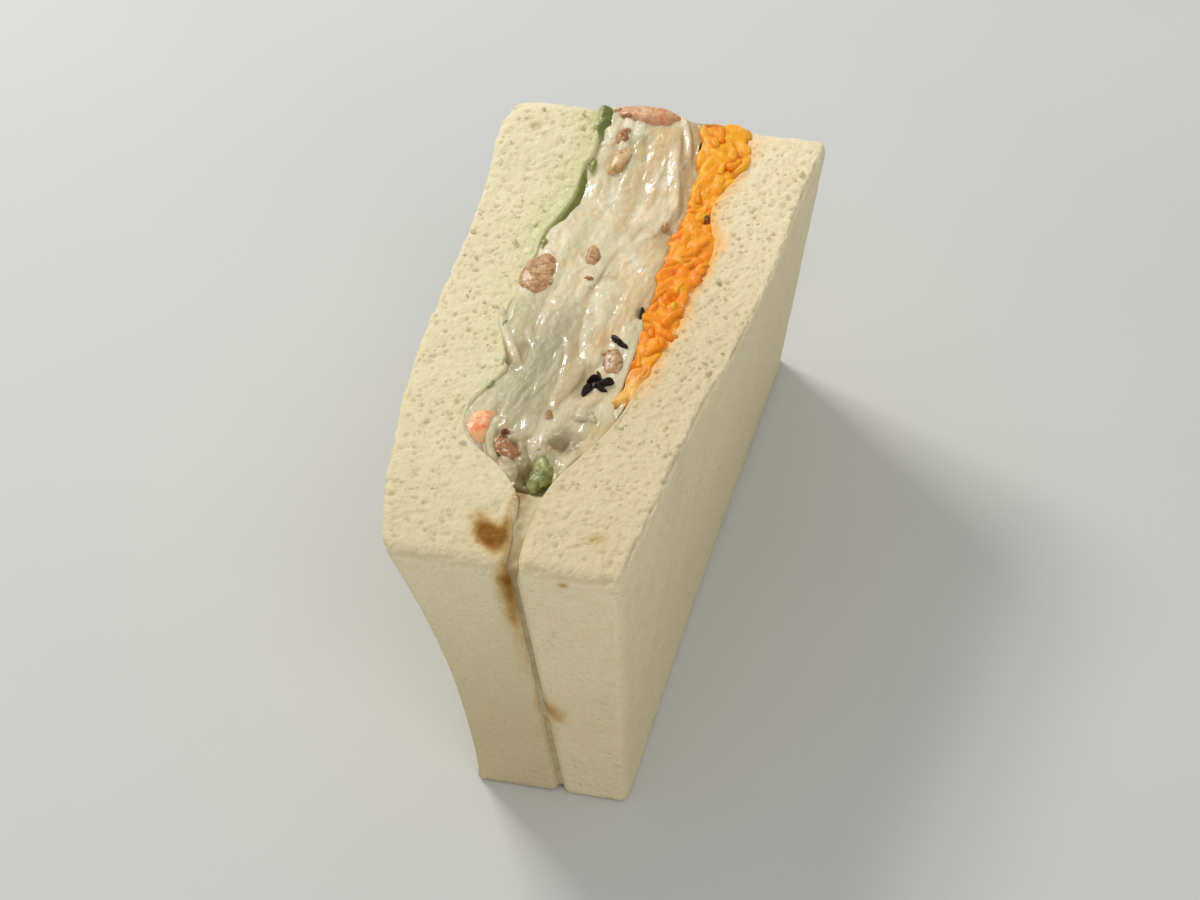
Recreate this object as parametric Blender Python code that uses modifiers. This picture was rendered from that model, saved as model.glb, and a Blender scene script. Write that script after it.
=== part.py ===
"""A vegetable sandwich: half of a crustless square sandwich, stood on its trimmed edge with the cut face up.

Two soft slices of white bread are pinched together along the foot and the front edge and lean apart
towards the cut face, where a heap of lettuce, dressed cabbage and carrot shreds shows between them, with
a few pieces of ham and of black wood ear. X runs across the slices, Y along the cut face and Z up.
"""

import math
import random

import bmesh
import bpy
import numpy as np
from mathutils import Matrix, Vector, noise

MM = 0.001

# Driving dimensions
FRONT = -47.5 * MM
BACK = 49.5 * MM
HEIGHT = 47.5 * MM
GAP = 0.3 * MM
STATIONS = 24
LEVELS = 9

# Where each slice's faces stand at the cut face, in millimetres:
# along Y, left slice's outer and inner face, right slice's inner and outer face.
CUT_FACE = (
    (-47.5, -18.2, 0.9, 1.9, 18.0),
    (-40.0, -20.2, 0.2, 1.6, 18.7),
    (-33.0, -21.5, -1.0, 2.3, 19.3),
    (-28.5, -22.3, -5.0, 3.8, 19.6),
    (-24.0, -23.0, -10.8, 5.8, 19.8),
    (-18.0, -23.8, -13.3, 8.2, 20.2),
    (-9.0, -24.5, -11.6, 10.0, 21.0),
    (1.0, -25.0, -14.8, 11.6, 22.5),
    (12.0, -25.2, -14.2, 11.6, 23.3),
    (21.0, -25.2, -14.3, 13.2, 23.9),
    (31.0, -25.2, -12.0, 10.6, 23.9),
    (41.0, -25.0, -11.8, 13.2, 24.4),
    (49.5, -24.0, -12.6, 10.8, 24.8),
)
# The same faces at the foot: along Y, left outer face, seam, right outer face.
FOOT = ((-47.5, -7.8, 5.3, 15.6), (0.0, -9.5, 3.6, 14.8), (49.5, -9.5, 3.0, 14.8))
LEAN_FRONT = 2.0
LEAN_MIDDLE = 1.3
POCKET_FOOT = 0.06
POCKET_POWER = 0.85

# How far the cut face is from level.
LEFT_CORNER_RISE = 3.2 * MM
RIGHT_CORNER_RISE = 1.2 * MM
FRONT_DIP = 0.8 * MM
WAVE_HEIGHT = 0.35 * MM
WAVE_ALONG = 7.0 * MM
WAVE_ACROSS = 9.0 * MM
HIGHEST_SHARE = 1.08

# How thick the outer layers of the filling are at the cut face, in millimetres: along Y, thickness.
LETTUCE_THICKNESS = (
    (-14.0, 0.9), (0.0, 1.1), (14.0, 1.2), (20.0, 2.3), (27.0, 3.3),
    (33.0, 2.3), (38.0, 1.3), (45.0, 2.6), (49.5, 2.2),
)
CARROT_THICKNESS = (
    (-12.0, 1.6), (-5.0, 2.6), (4.0, 4.2), (12.0, 4.2), (21.0, 6.2),
    (31.0, 3.0), (36.0, 4.8), (42.0, 7.2), (49.5, 5.0),
)
LEAST_LETTUCE = 0.8 * MM
LEAST_CARROT = 0.7 * MM

# Where each layer ends at the front and at the foot of the pocket, how far the cabbage takes to widen in
# front of its neighbours, and how far the cores stay below the cut face and inside the back edge.
LETTUCE_FRONT = -14.0 * MM
CARROT_FRONT = -12.0 * MM
CABBAGE_FRONT = -31.0 * MM
LETTUCE_FOOT = 7.0 * MM
CABBAGE_FOOT = 8.0 * MM
CARROT_FOOT = 13.0 * MM
WIDENING = 5.0 * MM
LETTUCE_SINK = 0.2 * MM
CABBAGE_SINK = 1.2 * MM
CARROT_SINK = 0.9 * MM
BACK_INSET = 0.6 * MM
CORE_LUMPS = 0.4 * MM
CORE_LUMP_SPACING = 5.0 * MM

# How round a slice's edges are: the cut face's two ends, and as shares of that the upright corners,
# the long rims of the cut face and the foot.
BREAD_ROUNDING = 2.6 * MM
CORNER_SHARE = 0.5
RIM_SHARE = 0.5
FOOT_SHARE = 0.25

CABBAGE_STRIPS = 28
CABBAGE_BACK_STRIPS = 7
CABBAGE_LENGTHS = (8.0, 15.0)
CABBAGE_WIDTHS = (1.3, 3.0)
CABBAGE_DEPTH = 2.4 * MM
CARROT_SHREDS = 32
CARROT_BACK_SHREDS = 4
CARROT_LENGTHS = (4.4, 9.0)
CARROT_WIDTHS = (1.3, 1.9)
CARROT_DEPTH = 1.8 * MM
BACK_SHRED_DEPTH = 1.8 * MM
BACK_SHRED_LENGTHS = (9.0, 16.0)
TIP_SHARE = 0.55
DENT_SHARE = 0.28

# Pieces lying in the cut face, in millimetres: name, colour, middle (x, y), size (x, y, z), turn, rise.
LUMPS = (
    ("ham_left", "ham", (-9.9, 11.5), (5.6, 9.6, 11.0), 6.0, 0.9),
    ("ham_back", "ham", (-3.4, 46.0), (6.6, 4.6, 9.0), 8.0, 1.4),
    ("ham_tan", "tan", (-5.2, 38.2), (2.8, 7.2, 7.0), -4.0, 0.8),
    ("ham_front", "salmon", (-9.9, -20.6), (4.2, 7.6, 9.0), -14.0, 1.2),
    ("ham_right", "ham_pale", (4.9, -4.9), (3.2, 4.2, 8.0), 12.0, 0.4),
    ("wood_ear_lump", "wood_ear", (4.1, -9.8), (4.6, 3.2, 6.0), 25.0, 1.4),
    ("cabbage_rib", "cabbage", (4.0, -16.2), (7.4, 5.6, 9.0), -12.0, 1.0),
)
# Thin pieces in the cut face, in millimetres: name, colour, start (x, y), end (x, y), width, depth, rise.
SLIVERS = (
    ("wood_ear_strip", "wood_ear", (3.2, 1.0), (6.4, -1.8), 1.2, 6.0, 1.0),
    ("wood_ear_bit", "wood_ear", (5.8, 7.4), (6.0, 5.2), 1.1, 4.0, 0.7),
    ("ham_sliver", "maroon", (-7.6, -23.0), (-3.0, -26.8), 2.8, 8.0, 0.2),
    ("leaf_tip", "leaf", (1.3, -25.6), (1.7, -30.2), 1.9, 6.0, 0.4),
)

COLOURS = {
    "bread": (0.72, 0.62, 0.40),
    "leaf": (0.16, 0.23, 0.04),
    "cabbage": (0.52, 0.48, 0.33),
    "carrot": (0.86, 0.27, 0.02),
    "ham": (0.48, 0.24, 0.14),
    "ham_pale": (0.55, 0.36, 0.24),
    "tan": (0.50, 0.33, 0.16),
    "salmon": (0.70, 0.25, 0.12),
    "maroon": (0.32, 0.12, 0.07),
    "wood_ear": (0.02, 0.01, 0.007),
}
ROUGHNESS = {"bread": 0.9, "leaf": 0.4, "cabbage": 0.25, "carrot": 0.4}


def smooth_curve(points):
    """A function that passes smoothly through (place, value) pairs in millimetres and answers in metres."""
    places = np.array([point[0] for point in points]) * MM
    values = np.array([point[1] for point in points]) * MM
    slopes = np.gradient(values, places)

    def value_at(place):
        place = min(max(place, places[0]), places[-1])
        step = int(min(np.searchsorted(places, place, side="right"), len(places) - 1))
        width = places[step] - places[step - 1]
        t = (place - places[step - 1]) / width
        return float(
            (1 + 2 * t) * (1 - t) ** 2 * values[step - 1]
            + t * (1 - t) ** 2 * width * slopes[step - 1]
            + t * t * (3 - 2 * t) * values[step]
            - t * t * (1 - t) * width * slopes[step]
        )

    return value_at


def column(rows, index):
    """The smooth curve of one column of a table whose first column is the place along Y."""
    return smooth_curve([(row[0], row[index]) for row in rows])


left_outer_top = column(CUT_FACE, 1)
left_inner_top = column(CUT_FACE, 2)
right_inner_top = column(CUT_FACE, 3)
right_outer_top = column(CUT_FACE, 4)
left_outer_foot = column(FOOT, 1)
seam_foot = column(FOOT, 2)
right_outer_foot = column(FOOT, 3)
lettuce_thickness = smooth_curve(LETTUCE_THICKNESS)
carrot_thickness = smooth_curve(CARROT_THICKNESS)


def mix(start, end, share):
    return start + (end - start) * share


def smooth_step(low, high, value):
    """0 below low, 1 above high and an even ease between them."""
    share = min(max((value - low) / (high - low), 0.0), 1.0)
    return share * share * (3 - 2 * share)


def cut_face_height(x, y):
    """The height of the cut face: nearly level, with its back corners a little raised and a soft waviness."""
    corner_rise = mix(LEFT_CORNER_RISE, RIGHT_CORNER_RISE, smooth_step(-22 * MM, 12 * MM, x))
    back_corner = corner_rise * smooth_step(28 * MM, 46 * MM, y)
    front_dip = FRONT_DIP * (1 - smooth_step(FRONT, FRONT + 14 * MM, y))
    waves = WAVE_HEIGHT * math.sin(y / WAVE_ALONG) * math.cos(x / WAVE_ACROSS)
    return HEIGHT + back_corner - front_dip + waves


def share_of_height(z):
    return min(max(z / HEIGHT, 0.0), HIGHEST_SHARE)


def pocket_place(top_x, y, z):
    """Where a filling surface that stands at top_x in the cut face lies at height z.

    The pocket closes downwards onto the seam: every surface keeps its share of the pocket's width.
    """
    share = share_of_height(z)
    middle_top = (left_inner_top(y) + right_inner_top(y)) / 2
    middle = mix(seam_foot(y), middle_top, share)
    opening = max((share - POCKET_FOOT) / (1 - POCKET_FOOT), 0.0) ** POCKET_POWER
    return middle + (top_x - middle_top) * opening


def left_inner(y, z):
    return pocket_place(left_inner_top(y), y, z) - 0.5 * GAP


def right_inner(y, z):
    return pocket_place(right_inner_top(y), y, z) + 0.5 * GAP


def left_outer(y, z):
    lean = mix(LEAN_FRONT, LEAN_MIDDLE, smooth_step(FRONT, 0.0, y))
    return mix(left_outer_foot(y), left_outer_top(y), share_of_height(z) ** lean)


def right_outer(y, z):
    return mix(right_outer_foot(y), right_outer_top(y), share_of_height(z))


def lettuce_outer(y, z):
    return left_inner(y, z) + GAP


def lettuce_inner(y, z):
    """The lettuce's face towards the cabbage: its thickness shrinks to that of one leaf further down."""
    share = share_of_height(z) ** 2
    thickness = mix(LEAST_LETTUCE, lettuce_thickness(y), share)
    return lettuce_outer(y, z) + thickness


def carrot_outer(y, z):
    return right_inner(y, z) - GAP


def carrot_inner(y, z):
    """The carrot's face towards the cabbage."""
    share = share_of_height(z)
    return carrot_outer(y, z) - mix(LEAST_CARROT, carrot_thickness(y), share)


def cabbage_left(y, z):
    """The left limit of the cabbage: the lettuce, or the bread itself in front of it."""
    beside = smooth_step(LETTUCE_FRONT - WIDENING, LETTUCE_FRONT - GAP, y)
    return mix(left_inner(y, z), lettuce_inner(y, z), beside) + GAP


def cabbage_right(y, z):
    """The right limit of the cabbage: the carrot, or the bread itself in front of it."""
    beside = smooth_step(CARROT_FRONT - WIDENING, CARROT_FRONT - GAP, y)
    return mix(right_inner(y, z), carrot_inner(y, z), beside) - GAP


def new_material(name, colour):
    material = bpy.data.materials.new(name)
    material.use_nodes = True
    shader = material.node_tree.nodes["Principled BSDF"]
    shader.inputs["Base Color"].default_value = (*COLOURS[colour], 1.0)
    shader.inputs["Roughness"].default_value = ROUGHNESS.get(colour, 0.45)
    shader.inputs["Metallic"].default_value = 0.0
    material.diffuse_color = (*COLOURS[colour], 1.0)
    return material


def new_object(name, mesh, collection):
    obj = bpy.data.objects.new(name, mesh)
    collection.objects.link(obj)
    return obj


def warped_block(name, counts, place, collection):
    """A cube cut into counts blocks along each axis, with every corner moved to place(u, v, w)."""
    bm = bmesh.new()
    bmesh.ops.create_cube(bm, size=1.0)
    for axis, count in enumerate(counts):
        along = [
            edge
            for edge in bm.edges
            if abs(edge.verts[0].co[axis] - edge.verts[1].co[axis]) > 0.5
        ]
        if count > 1:
            bmesh.ops.subdivide_edges(bm, edges=along, cuts=count - 1, use_grid_fill=True)
    for vert in bm.verts:
        u, v, w = (coordinate + 0.5 for coordinate in vert.co)
        vert.co = Vector(place(u, v, w))
    mesh = bpy.data.meshes.new(name)
    bm.to_mesh(mesh)
    bm.free()
    return new_object(name, mesh, collection)


def apply_modifiers(obj):
    """Replaces the object's mesh by its evaluated one."""
    depsgraph = bpy.context.evaluated_depsgraph_get()
    mesh = bpy.data.meshes.new_from_object(obj.evaluated_get(depsgraph))
    obj.modifiers.clear()
    obj.data = mesh


def drop_scraps(obj):
    """Keeps the object's largest connected skin: loose crumbs go, and sealed hollows are filled."""
    bm = bmesh.new()
    bm.from_mesh(obj.data)
    unseen = set(bm.verts)
    bodies = []
    while unseen:
        body, edge_of_body = set(), [unseen.pop()]
        while edge_of_body:
            vert = edge_of_body.pop()
            body.add(vert)
            near = {edge.other_vert(vert) for edge in vert.link_edges} & unseen
            unseen -= near
            edge_of_body.extend(near)
        bodies.append(body)
    bodies.sort(key=len)
    for body in bodies[:-1]:
        bmesh.ops.delete(bm, geom=list(body), context="VERTS")
    bm.to_mesh(obj.data)
    bm.free()


def boolean(obj, operation, collection):
    """Joins obj with all that the collection holds, or cuts it by that, then removes those objects."""
    modifier = obj.modifiers.new(operation.title(), "BOOLEAN")
    modifier.operation = operation
    modifier.operand_type = "COLLECTION"
    modifier.collection = collection
    modifier.solver = "EXACT"
    apply_modifiers(obj)
    drop_scraps(obj)
    for tool in list(collection.objects):
        bpy.data.objects.remove(tool)
    bpy.data.collections.remove(collection)


def round_edges(obj):
    """Rounds the block's own edges: most at the cut face's two ends, least along the foot and the filling."""
    bm = bmesh.new()
    bm.from_mesh(obj.data)
    weight = bm.edges.layers.float.new("bevel_weight_edge")
    for edge in bm.edges:
        if edge.calc_face_angle(0.0) < math.radians(40):
            continue
        run = edge.verts[1].co - edge.verts[0].co
        middle = (edge.verts[0].co + edge.verts[1].co) / 2
        if abs(run.z) > max(abs(run.x), abs(run.y)):
            edge[weight] = CORNER_SHARE
        elif middle.z < HEIGHT / 2:
            edge[weight] = FOOT_SHARE
        elif abs(run.x) > abs(run.y):
            edge[weight] = 1.0
        else:
            edge[weight] = RIM_SHARE
    bm.to_mesh(obj.data)
    bm.free()
    bevel = obj.modifiers.new("Soft edges", "BEVEL")
    bevel.limit_method = "WEIGHT"
    bevel.width = BREAD_ROUNDING
    bevel.segments = 2


def bread_slice(name, left, right, collection):
    """One slice: a block between its left and its right face, flat on the foot."""

    def place(u, v, w):
        y = mix(FRONT, BACK, v)
        middle_x = (left(y, HEIGHT) + right(y, HEIGHT)) / 2
        z = w * cut_face_height(middle_x, y)
        return mix(left(y, z), right(y, z), u), y, z

    obj = warped_block(name, (3, STATIONS, LEVELS), place, collection)
    round_edges(obj)
    return obj


def filling_layer(name, counts, front, foot, left, right, sink, collection):
    """One layer of the filling, between its two faces, from the foot of the pocket up to the cut face."""

    def place(u, v, w):
        y = mix(front, BACK - BACK_INSET, v)
        top = cut_face_height(0.0, y) - sink
        z = mix(foot, top, w)
        x = mix(left(y, z), right(y, z), u)
        lumps = CORE_LUMPS * noise.noise(Vector((x, y, z)) / CORE_LUMP_SPACING)
        inside = 4 * u * (1 - u)
        return x, y + lumps * (v > 0.99), z + lumps * inside * (w > 0.99)

    return warped_block(name, counts, place, collection)


def between(point, limits, margin):
    """The point, moved along X where it would come closer than the margin to one of the two limits."""
    left, right = limits
    point.x = min(max(point.x, left(point.y, point.z) + margin), right(point.y, point.z) - margin)
    return point


def squeezed(point, limits, margin):
    """The point, pressed along X in between the two limits: the closer to a limit, the more it gives way."""
    left, right = (limit(point.y, point.z) for limit in limits)
    middle = (left + right) / 2
    room = (right - left) / 2 - margin
    point.x = middle + room * math.tanh((point.x - middle) / room)
    return point


def strip(name, start, end, size, bow, segments, keep_in, collection, facing=(0, 0, 1)):
    """A flat shred from start to end, bowed in the middle and thinner at its tips; keep_in moves its corners.

    Its size is its width and, towards the side that it faces, its depth.
    """
    start, end = Vector(start), Vector(end)
    width, depth = size
    along = (end - start).normalized()
    side = along.cross(Vector(facing)).normalized()
    up = side.cross(along)

    def place(u, v, w):
        taper = mix(TIP_SHARE, 1.0, math.sin(math.pi * v) ** 0.5)
        sideways = (u - 0.5) * width * taper + bow * math.sin(math.pi * v)
        upwards = (w - 0.5) * depth * taper
        return keep_in(start.lerp(end, v) + side * sideways + up * upwards)

    return warped_block(name, (1, segments, 1), place, collection)


def fused_shred(name, start, end, size, bow, limits, shreds, facing=(0, 0, 1)):
    """A shred of a heap, pressed between the heap's limits, each with its own distance from them."""
    margin = random.uniform(0.2, 0.5) * MM
    strip(name, start, end, size, bow, 4, lambda point: squeezed(point, limits, margin), shreds, facing)


def back_shred(name, share, width, limits, shreds):
    """A shred that lies down the back edge, at the given share of its layer's width."""
    left, right = limits
    high = random.uniform(36, 44) * MM
    low = high - random.uniform(*BACK_SHRED_LENGTHS) * MM
    y = BACK - BACK_INSET - 0.25 * BACK_SHRED_DEPTH
    start = (mix(left(y, high), right(y, high), share), y, high)
    end = (mix(left(y, low), right(y, low), share), y, low)
    fused_shred(name, start, end, (width, BACK_SHRED_DEPTH), 0.4 * MM, limits, shreds, (0, 1, 0))


def cabbage_shreds(limits):
    """Broad pale strips that lie along the cut face, and some that end at the back edge."""
    random.seed(11)
    shreds = bpy.data.collections.new("Cabbage strips")
    for number in range(CABBAGE_STRIPS):
        share = (number + 0.5) / CABBAGE_STRIPS
        y = mix(CABBAGE_FRONT, BACK, mix(0.11, 0.89, share))
        across = random.uniform(0.12, 0.88)
        top = cut_face_height(0.0, y)
        x = mix(cabbage_left(y, top), cabbage_right(y, top), across)
        half = random.uniform(*CABBAGE_LENGTHS) / 2 * MM
        turn = random.uniform(-0.22, 0.22)
        z = top + random.uniform(-1.0, 0.1) * MM
        start = (x - half * turn, y - half, z + random.uniform(-0.6, 0.3) * MM)
        end = (x + half * turn, y + half, z + random.uniform(-0.6, 0.3) * MM)
        width = random.uniform(*CABBAGE_WIDTHS) * MM
        bow = random.uniform(-0.8, 0.8) * MM
        fused_shred(f"Strip {number}", start, end, (width, CABBAGE_DEPTH), bow, limits, shreds)
    for number in range(CABBAGE_BACK_STRIPS):
        share = (number + 0.5) / CABBAGE_BACK_STRIPS
        back_shred(f"Back strip {number}", share, 2.0 * MM, limits, shreds)
    return shreds


def carrot_shreds(limits):
    """Narrow shreds that lie along and down the carrot layer."""
    random.seed(5)
    shreds = bpy.data.collections.new("Carrot shreds")
    for number in range(CARROT_SHREDS):
        share = (number + 0.5) / CARROT_SHREDS
        y = mix(CARROT_FRONT, BACK, mix(0.08, 0.91, share))
        top = cut_face_height(0.0, y)
        x = mix(carrot_inner(y, top), right_inner(y, top), random.uniform(0.2, 0.8))
        half = random.uniform(*CARROT_LENGTHS) / 2 * MM
        turn = random.uniform(-0.5, 0.5)
        tilt = random.uniform(-0.25, 0.25)
        z = top + random.uniform(-0.8, 0.3) * MM
        start = (x - half * turn, y - half, z - half * tilt)
        end = (x + half * turn, y + half, z + half * tilt)
        width = random.uniform(*CARROT_WIDTHS) * MM
        fused_shred(f"Shred {number}", start, end, (width, CARROT_DEPTH), 0.3 * MM, limits, shreds)
    for number in range(CARROT_BACK_SHREDS):
        share = (number + 0.5) / CARROT_BACK_SHREDS
        back_shred(f"Back shred {number}", share, 1.4 * MM, limits, shreds)
    return shreds


def lean_with_pocket(point, grow):
    """The place of a cut-face point at its own depth in the pocket, between the cabbage's limits."""
    point.x = pocket_place(point.x, point.y, point.z)
    return between(point, (cabbage_left, cabbage_right), -0.7 * grow)


def lump(name, middle, size, turn, grow, seed, collection):
    """A rough torn piece: a ball of the given size with a few broad dents, turned about Z.

    It leans with the pocket and stays between its neighbours.
    """
    bm = bmesh.new()
    bmesh.ops.create_icosphere(bm, subdivisions=2, radius=0.5)
    for vert in bm.verts:
        dent = 1 + DENT_SHARE * noise.noise(vert.co * 2.6 + Vector((seed, 2 * seed, 0)))
        vert.co = Vector(tuple(coordinate * length * dent for coordinate, length in zip(vert.co, size)))
    bm.normal_update()
    for vert in bm.verts:
        vert.co += vert.normal * grow
    bmesh.ops.rotate(bm, verts=bm.verts, cent=(0, 0, 0), matrix=Matrix.Rotation(math.radians(turn), 3, "Z"))
    bmesh.ops.translate(bm, verts=bm.verts, vec=middle)
    for vert in bm.verts:
        vert.co = lean_with_pocket(vert.co, grow)
    mesh = bpy.data.meshes.new(name)
    bm.to_mesh(mesh)
    bm.free()
    return new_object(name, mesh, collection)


def cut_face_pieces(grow, collection):
    """The ham, wood ear and leaf pieces in the cut face; with grow above 0, the room that they need."""
    pieces = []
    for seed, (name, colour, (x, y), size, turn, rise) in enumerate(LUMPS):
        size = [length * MM for length in size]
        x, y = x * MM, y * MM
        z = cut_face_height(x, y) + rise * MM - size[2] / 2
        obj = lump(name, (x, y, z), size, turn, grow, seed + 1.0, collection)
        pieces.append((obj, colour))
    for name, colour, start, end, width, depth, rise in SLIVERS:
        start, end = Vector(start) * MM, Vector(end) * MM
        stretch = (end - start).normalized() * grow
        middle = (start + end) / 2
        z = cut_face_height(middle.x, middle.y) + (rise - depth / 2) * MM
        start, end = (*(start - stretch), z), (*(end + stretch), z)
        size = (width * MM + 2 * grow, depth * MM + 2 * grow)
        obj = strip(name, start, end, size, 0.0, 3, lambda point: lean_with_pocket(point, grow), collection)
        pieces.append((obj, colour))
    return pieces


def stand_at_origin(objects, stand):
    """Puts the bottom centre of the box round all pieces at the origin by moving their common parent."""
    bpy.context.view_layer.update()
    depsgraph = bpy.context.evaluated_depsgraph_get()
    corners = []
    for obj in objects:
        mesh = obj.evaluated_get(depsgraph).data
        points = np.empty(len(mesh.vertices) * 3, dtype=np.float32)
        mesh.vertices.foreach_get("co", points)
        corners.append(points.reshape(-1, 3).min(axis=0))
        corners.append(points.reshape(-1, 3).max(axis=0))
    low, high = np.min(corners, axis=0), np.max(corners, axis=0)
    stand.location = (-(low[0] + high[0]) / 2, -(low[1] + high[1]) / 2, -low[2])
    for obj in objects:
        obj.parent = stand


def main():
    for obj in list(bpy.data.objects):
        bpy.data.objects.remove(obj)
    sandwich = bpy.data.collections.new("Vegetable sandwich")
    bpy.context.scene.collection.children.link(sandwich)
    cutters = bpy.data.collections.new("Cutters")
    bpy.context.scene.collection.children.link(cutters)

    bread_left = bread_slice("bread_left", left_outer, left_inner, sandwich)
    bread_right = bread_slice("bread_right", right_inner, right_outer, sandwich)

    lettuce = filling_layer(
        "lettuce", (1, 16, 8), LETTUCE_FRONT, LETTUCE_FOOT,
        lettuce_outer, lettuce_inner, LETTUCE_SINK, sandwich,
    )
    cabbage = filling_layer(
        "cabbage", (4, 20, 6), CABBAGE_FRONT, CABBAGE_FOOT,
        cabbage_left, cabbage_right, CABBAGE_SINK, sandwich,
    )
    boolean(cabbage, "UNION", cabbage_shreds((cabbage_left, cabbage_right)))
    carrot = filling_layer(
        "carrot", (2, 15, 6), CARROT_FRONT, CARROT_FOOT,
        carrot_inner, carrot_outer, CARROT_SINK, sandwich,
    )
    boolean(carrot, "UNION", carrot_shreds((carrot_inner, carrot_outer)))

    rooms = bpy.data.collections.new("Rooms")
    cut_face_pieces(GAP, rooms)
    boolean(cabbage, "DIFFERENCE", rooms)
    pieces = cut_face_pieces(0.0, sandwich)

    nodes = [
        (bread_left, "bread"), (bread_right, "bread"), (lettuce, "leaf"),
        (cabbage, "cabbage"), (carrot, "carrot"), *pieces,
    ]
    for obj, colour in nodes:
        obj.data.materials.clear()
        obj.data.materials.append(new_material(obj.name, colour))
    stand = bpy.data.objects.new("Stand", None)
    sandwich.objects.link(stand)
    stand_at_origin([obj for obj, _ in nodes], stand)


main()
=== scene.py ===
"""The looks of a vegetable sandwich: half of a crustless square one, on its edge with the cut face up.

Lengths are millimetres in the sandwich's own design frame, where X runs across the slices, Y along the cut
face and Z up, until a finished skin is put into Blender in metres. Every shape is worked out with numpy as a
grid of points: a block with a lattice on its skin, a profile carried along a path, or a ball of rings.
"""

import itertools
import logging
import math
from dataclasses import dataclass, field
from enum import Enum
from functools import cached_property
from typing import Callable, ClassVar, Sequence

import bpy
import numpy as np
from mathutils import Matrix, Vector


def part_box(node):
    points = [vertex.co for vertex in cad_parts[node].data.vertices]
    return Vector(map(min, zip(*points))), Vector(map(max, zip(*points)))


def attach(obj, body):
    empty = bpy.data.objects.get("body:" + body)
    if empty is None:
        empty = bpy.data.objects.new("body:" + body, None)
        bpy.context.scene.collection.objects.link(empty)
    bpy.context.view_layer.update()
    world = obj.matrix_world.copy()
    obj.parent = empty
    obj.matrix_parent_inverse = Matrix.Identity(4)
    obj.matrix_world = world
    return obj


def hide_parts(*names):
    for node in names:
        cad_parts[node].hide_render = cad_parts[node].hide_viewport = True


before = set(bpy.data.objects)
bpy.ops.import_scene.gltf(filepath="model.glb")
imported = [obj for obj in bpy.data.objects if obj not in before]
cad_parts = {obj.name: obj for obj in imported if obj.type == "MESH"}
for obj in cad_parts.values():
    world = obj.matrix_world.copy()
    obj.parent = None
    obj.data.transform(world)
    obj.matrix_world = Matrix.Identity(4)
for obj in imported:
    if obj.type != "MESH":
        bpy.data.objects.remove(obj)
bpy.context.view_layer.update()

LOG = logging.getLogger("sandwich")
MM = 0.001
GAP = 0.3
TINY = 1e-6
BODY = "root"

Array = np.ndarray
Curve = Callable[[Array], Array]
Face = Callable[[Array, Array], Array]
Rows = tuple[tuple[float, ...], ...]
Names = tuple[str, ...]
Point = tuple[float, float, float]
Counts = tuple[int, int, int]
Colour = tuple[float, float, float, float]
Pair = tuple[float, float]

SKEW = np.array(Matrix.Rotation(0.6, 3, Vector((1.0, 0.4, 0.7))))


# ---- Small maths ----


def mix(start: Array, end: Array, share: Array) -> Array:
    """The value that lies the given share of the way from start to end."""
    return start + (end - start) * share


def smooth_step(low: float, high: float, value: Array) -> Array:
    """0 below low, 1 above high and 3s^2 - 2s^3 of the share s between them."""
    share = np.clip((value - low) / (high - low), 0.0, 1.0)
    return share * share * (3.0 - 2.0 * share)


def curve_through(points: Rows, column: int = 1) -> Curve:
    """A smooth curve through rows of places and values.

    Each stretch is a cubic Hermite curve, whose slopes are the central differences of the rows.

    Args:
        points: Rows whose first number is the place.
        column: Which number of a row is the value.

    Returns:
        A function that takes an array of places and gives the values there.
    """
    table = np.array(points, dtype=float)
    places, values = table[:, 0], table[:, column]
    slopes = np.gradient(values, places)

    def value_at(place: Array) -> Array:
        """The curve's value at each place.

        Args:
            place: The places.

        Returns:
            The values there.
        """
        place = np.clip(np.asarray(place, dtype=float), places[0], places[-1])
        step = np.minimum(np.searchsorted(places, place, side="right"), len(places) - 1)
        width = places[step] - places[step - 1]
        t = (place - places[step - 1]) / width
        return (
            (1 + 2 * t) * (1 - t) ** 2 * values[step - 1]
            + t * (1 - t) ** 2 * width * slopes[step - 1]
            + t * t * (3 - 2 * t) * values[step]
            - t * t * (1 - t) * width * slopes[step]
        )

    return value_at


def joined(*parts: Array) -> Array:
    """Arrays or numbers side by side along a new last axis."""
    return np.stack(np.broadcast_arrays(*parts), axis=-1)


def unit(vectors: Array) -> Array:
    """The vectors at length one."""
    return vectors / np.maximum(np.linalg.norm(vectors, axis=-1, keepdims=True), 1e-9)


def on_line(along: Array, offset: float = 0.0) -> Array:
    """Points on a line along X, for noise that changes along one measure only."""
    return joined(along, 0, offset)


def cell_numbers(cells: Array, seed: int) -> Array:
    """Evenly spread numbers from 0 to 1, one for each whole-number cell.

    The cell's coordinates times large primes are summed, and the bits are mixed by shifts and products.

    Args:
        cells: The cells' coordinates.
        seed: Which set of numbers this is.

    Returns:
        The numbers.
    """
    primes = np.array([73856093, 19349663, 83492791], dtype=np.uint32)
    key = (cells.astype(np.int64).astype(np.uint32) * primes).sum(axis=-1, dtype=np.uint32)
    key ^= np.uint32((seed * 2654435761) % 2**32)
    key ^= key >> np.uint32(15)
    key *= np.uint32(2246822519)
    key ^= key >> np.uint32(13)
    key *= np.uint32(3266489917)
    key ^= key >> np.uint32(16)
    return key / 2.0**32


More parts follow.
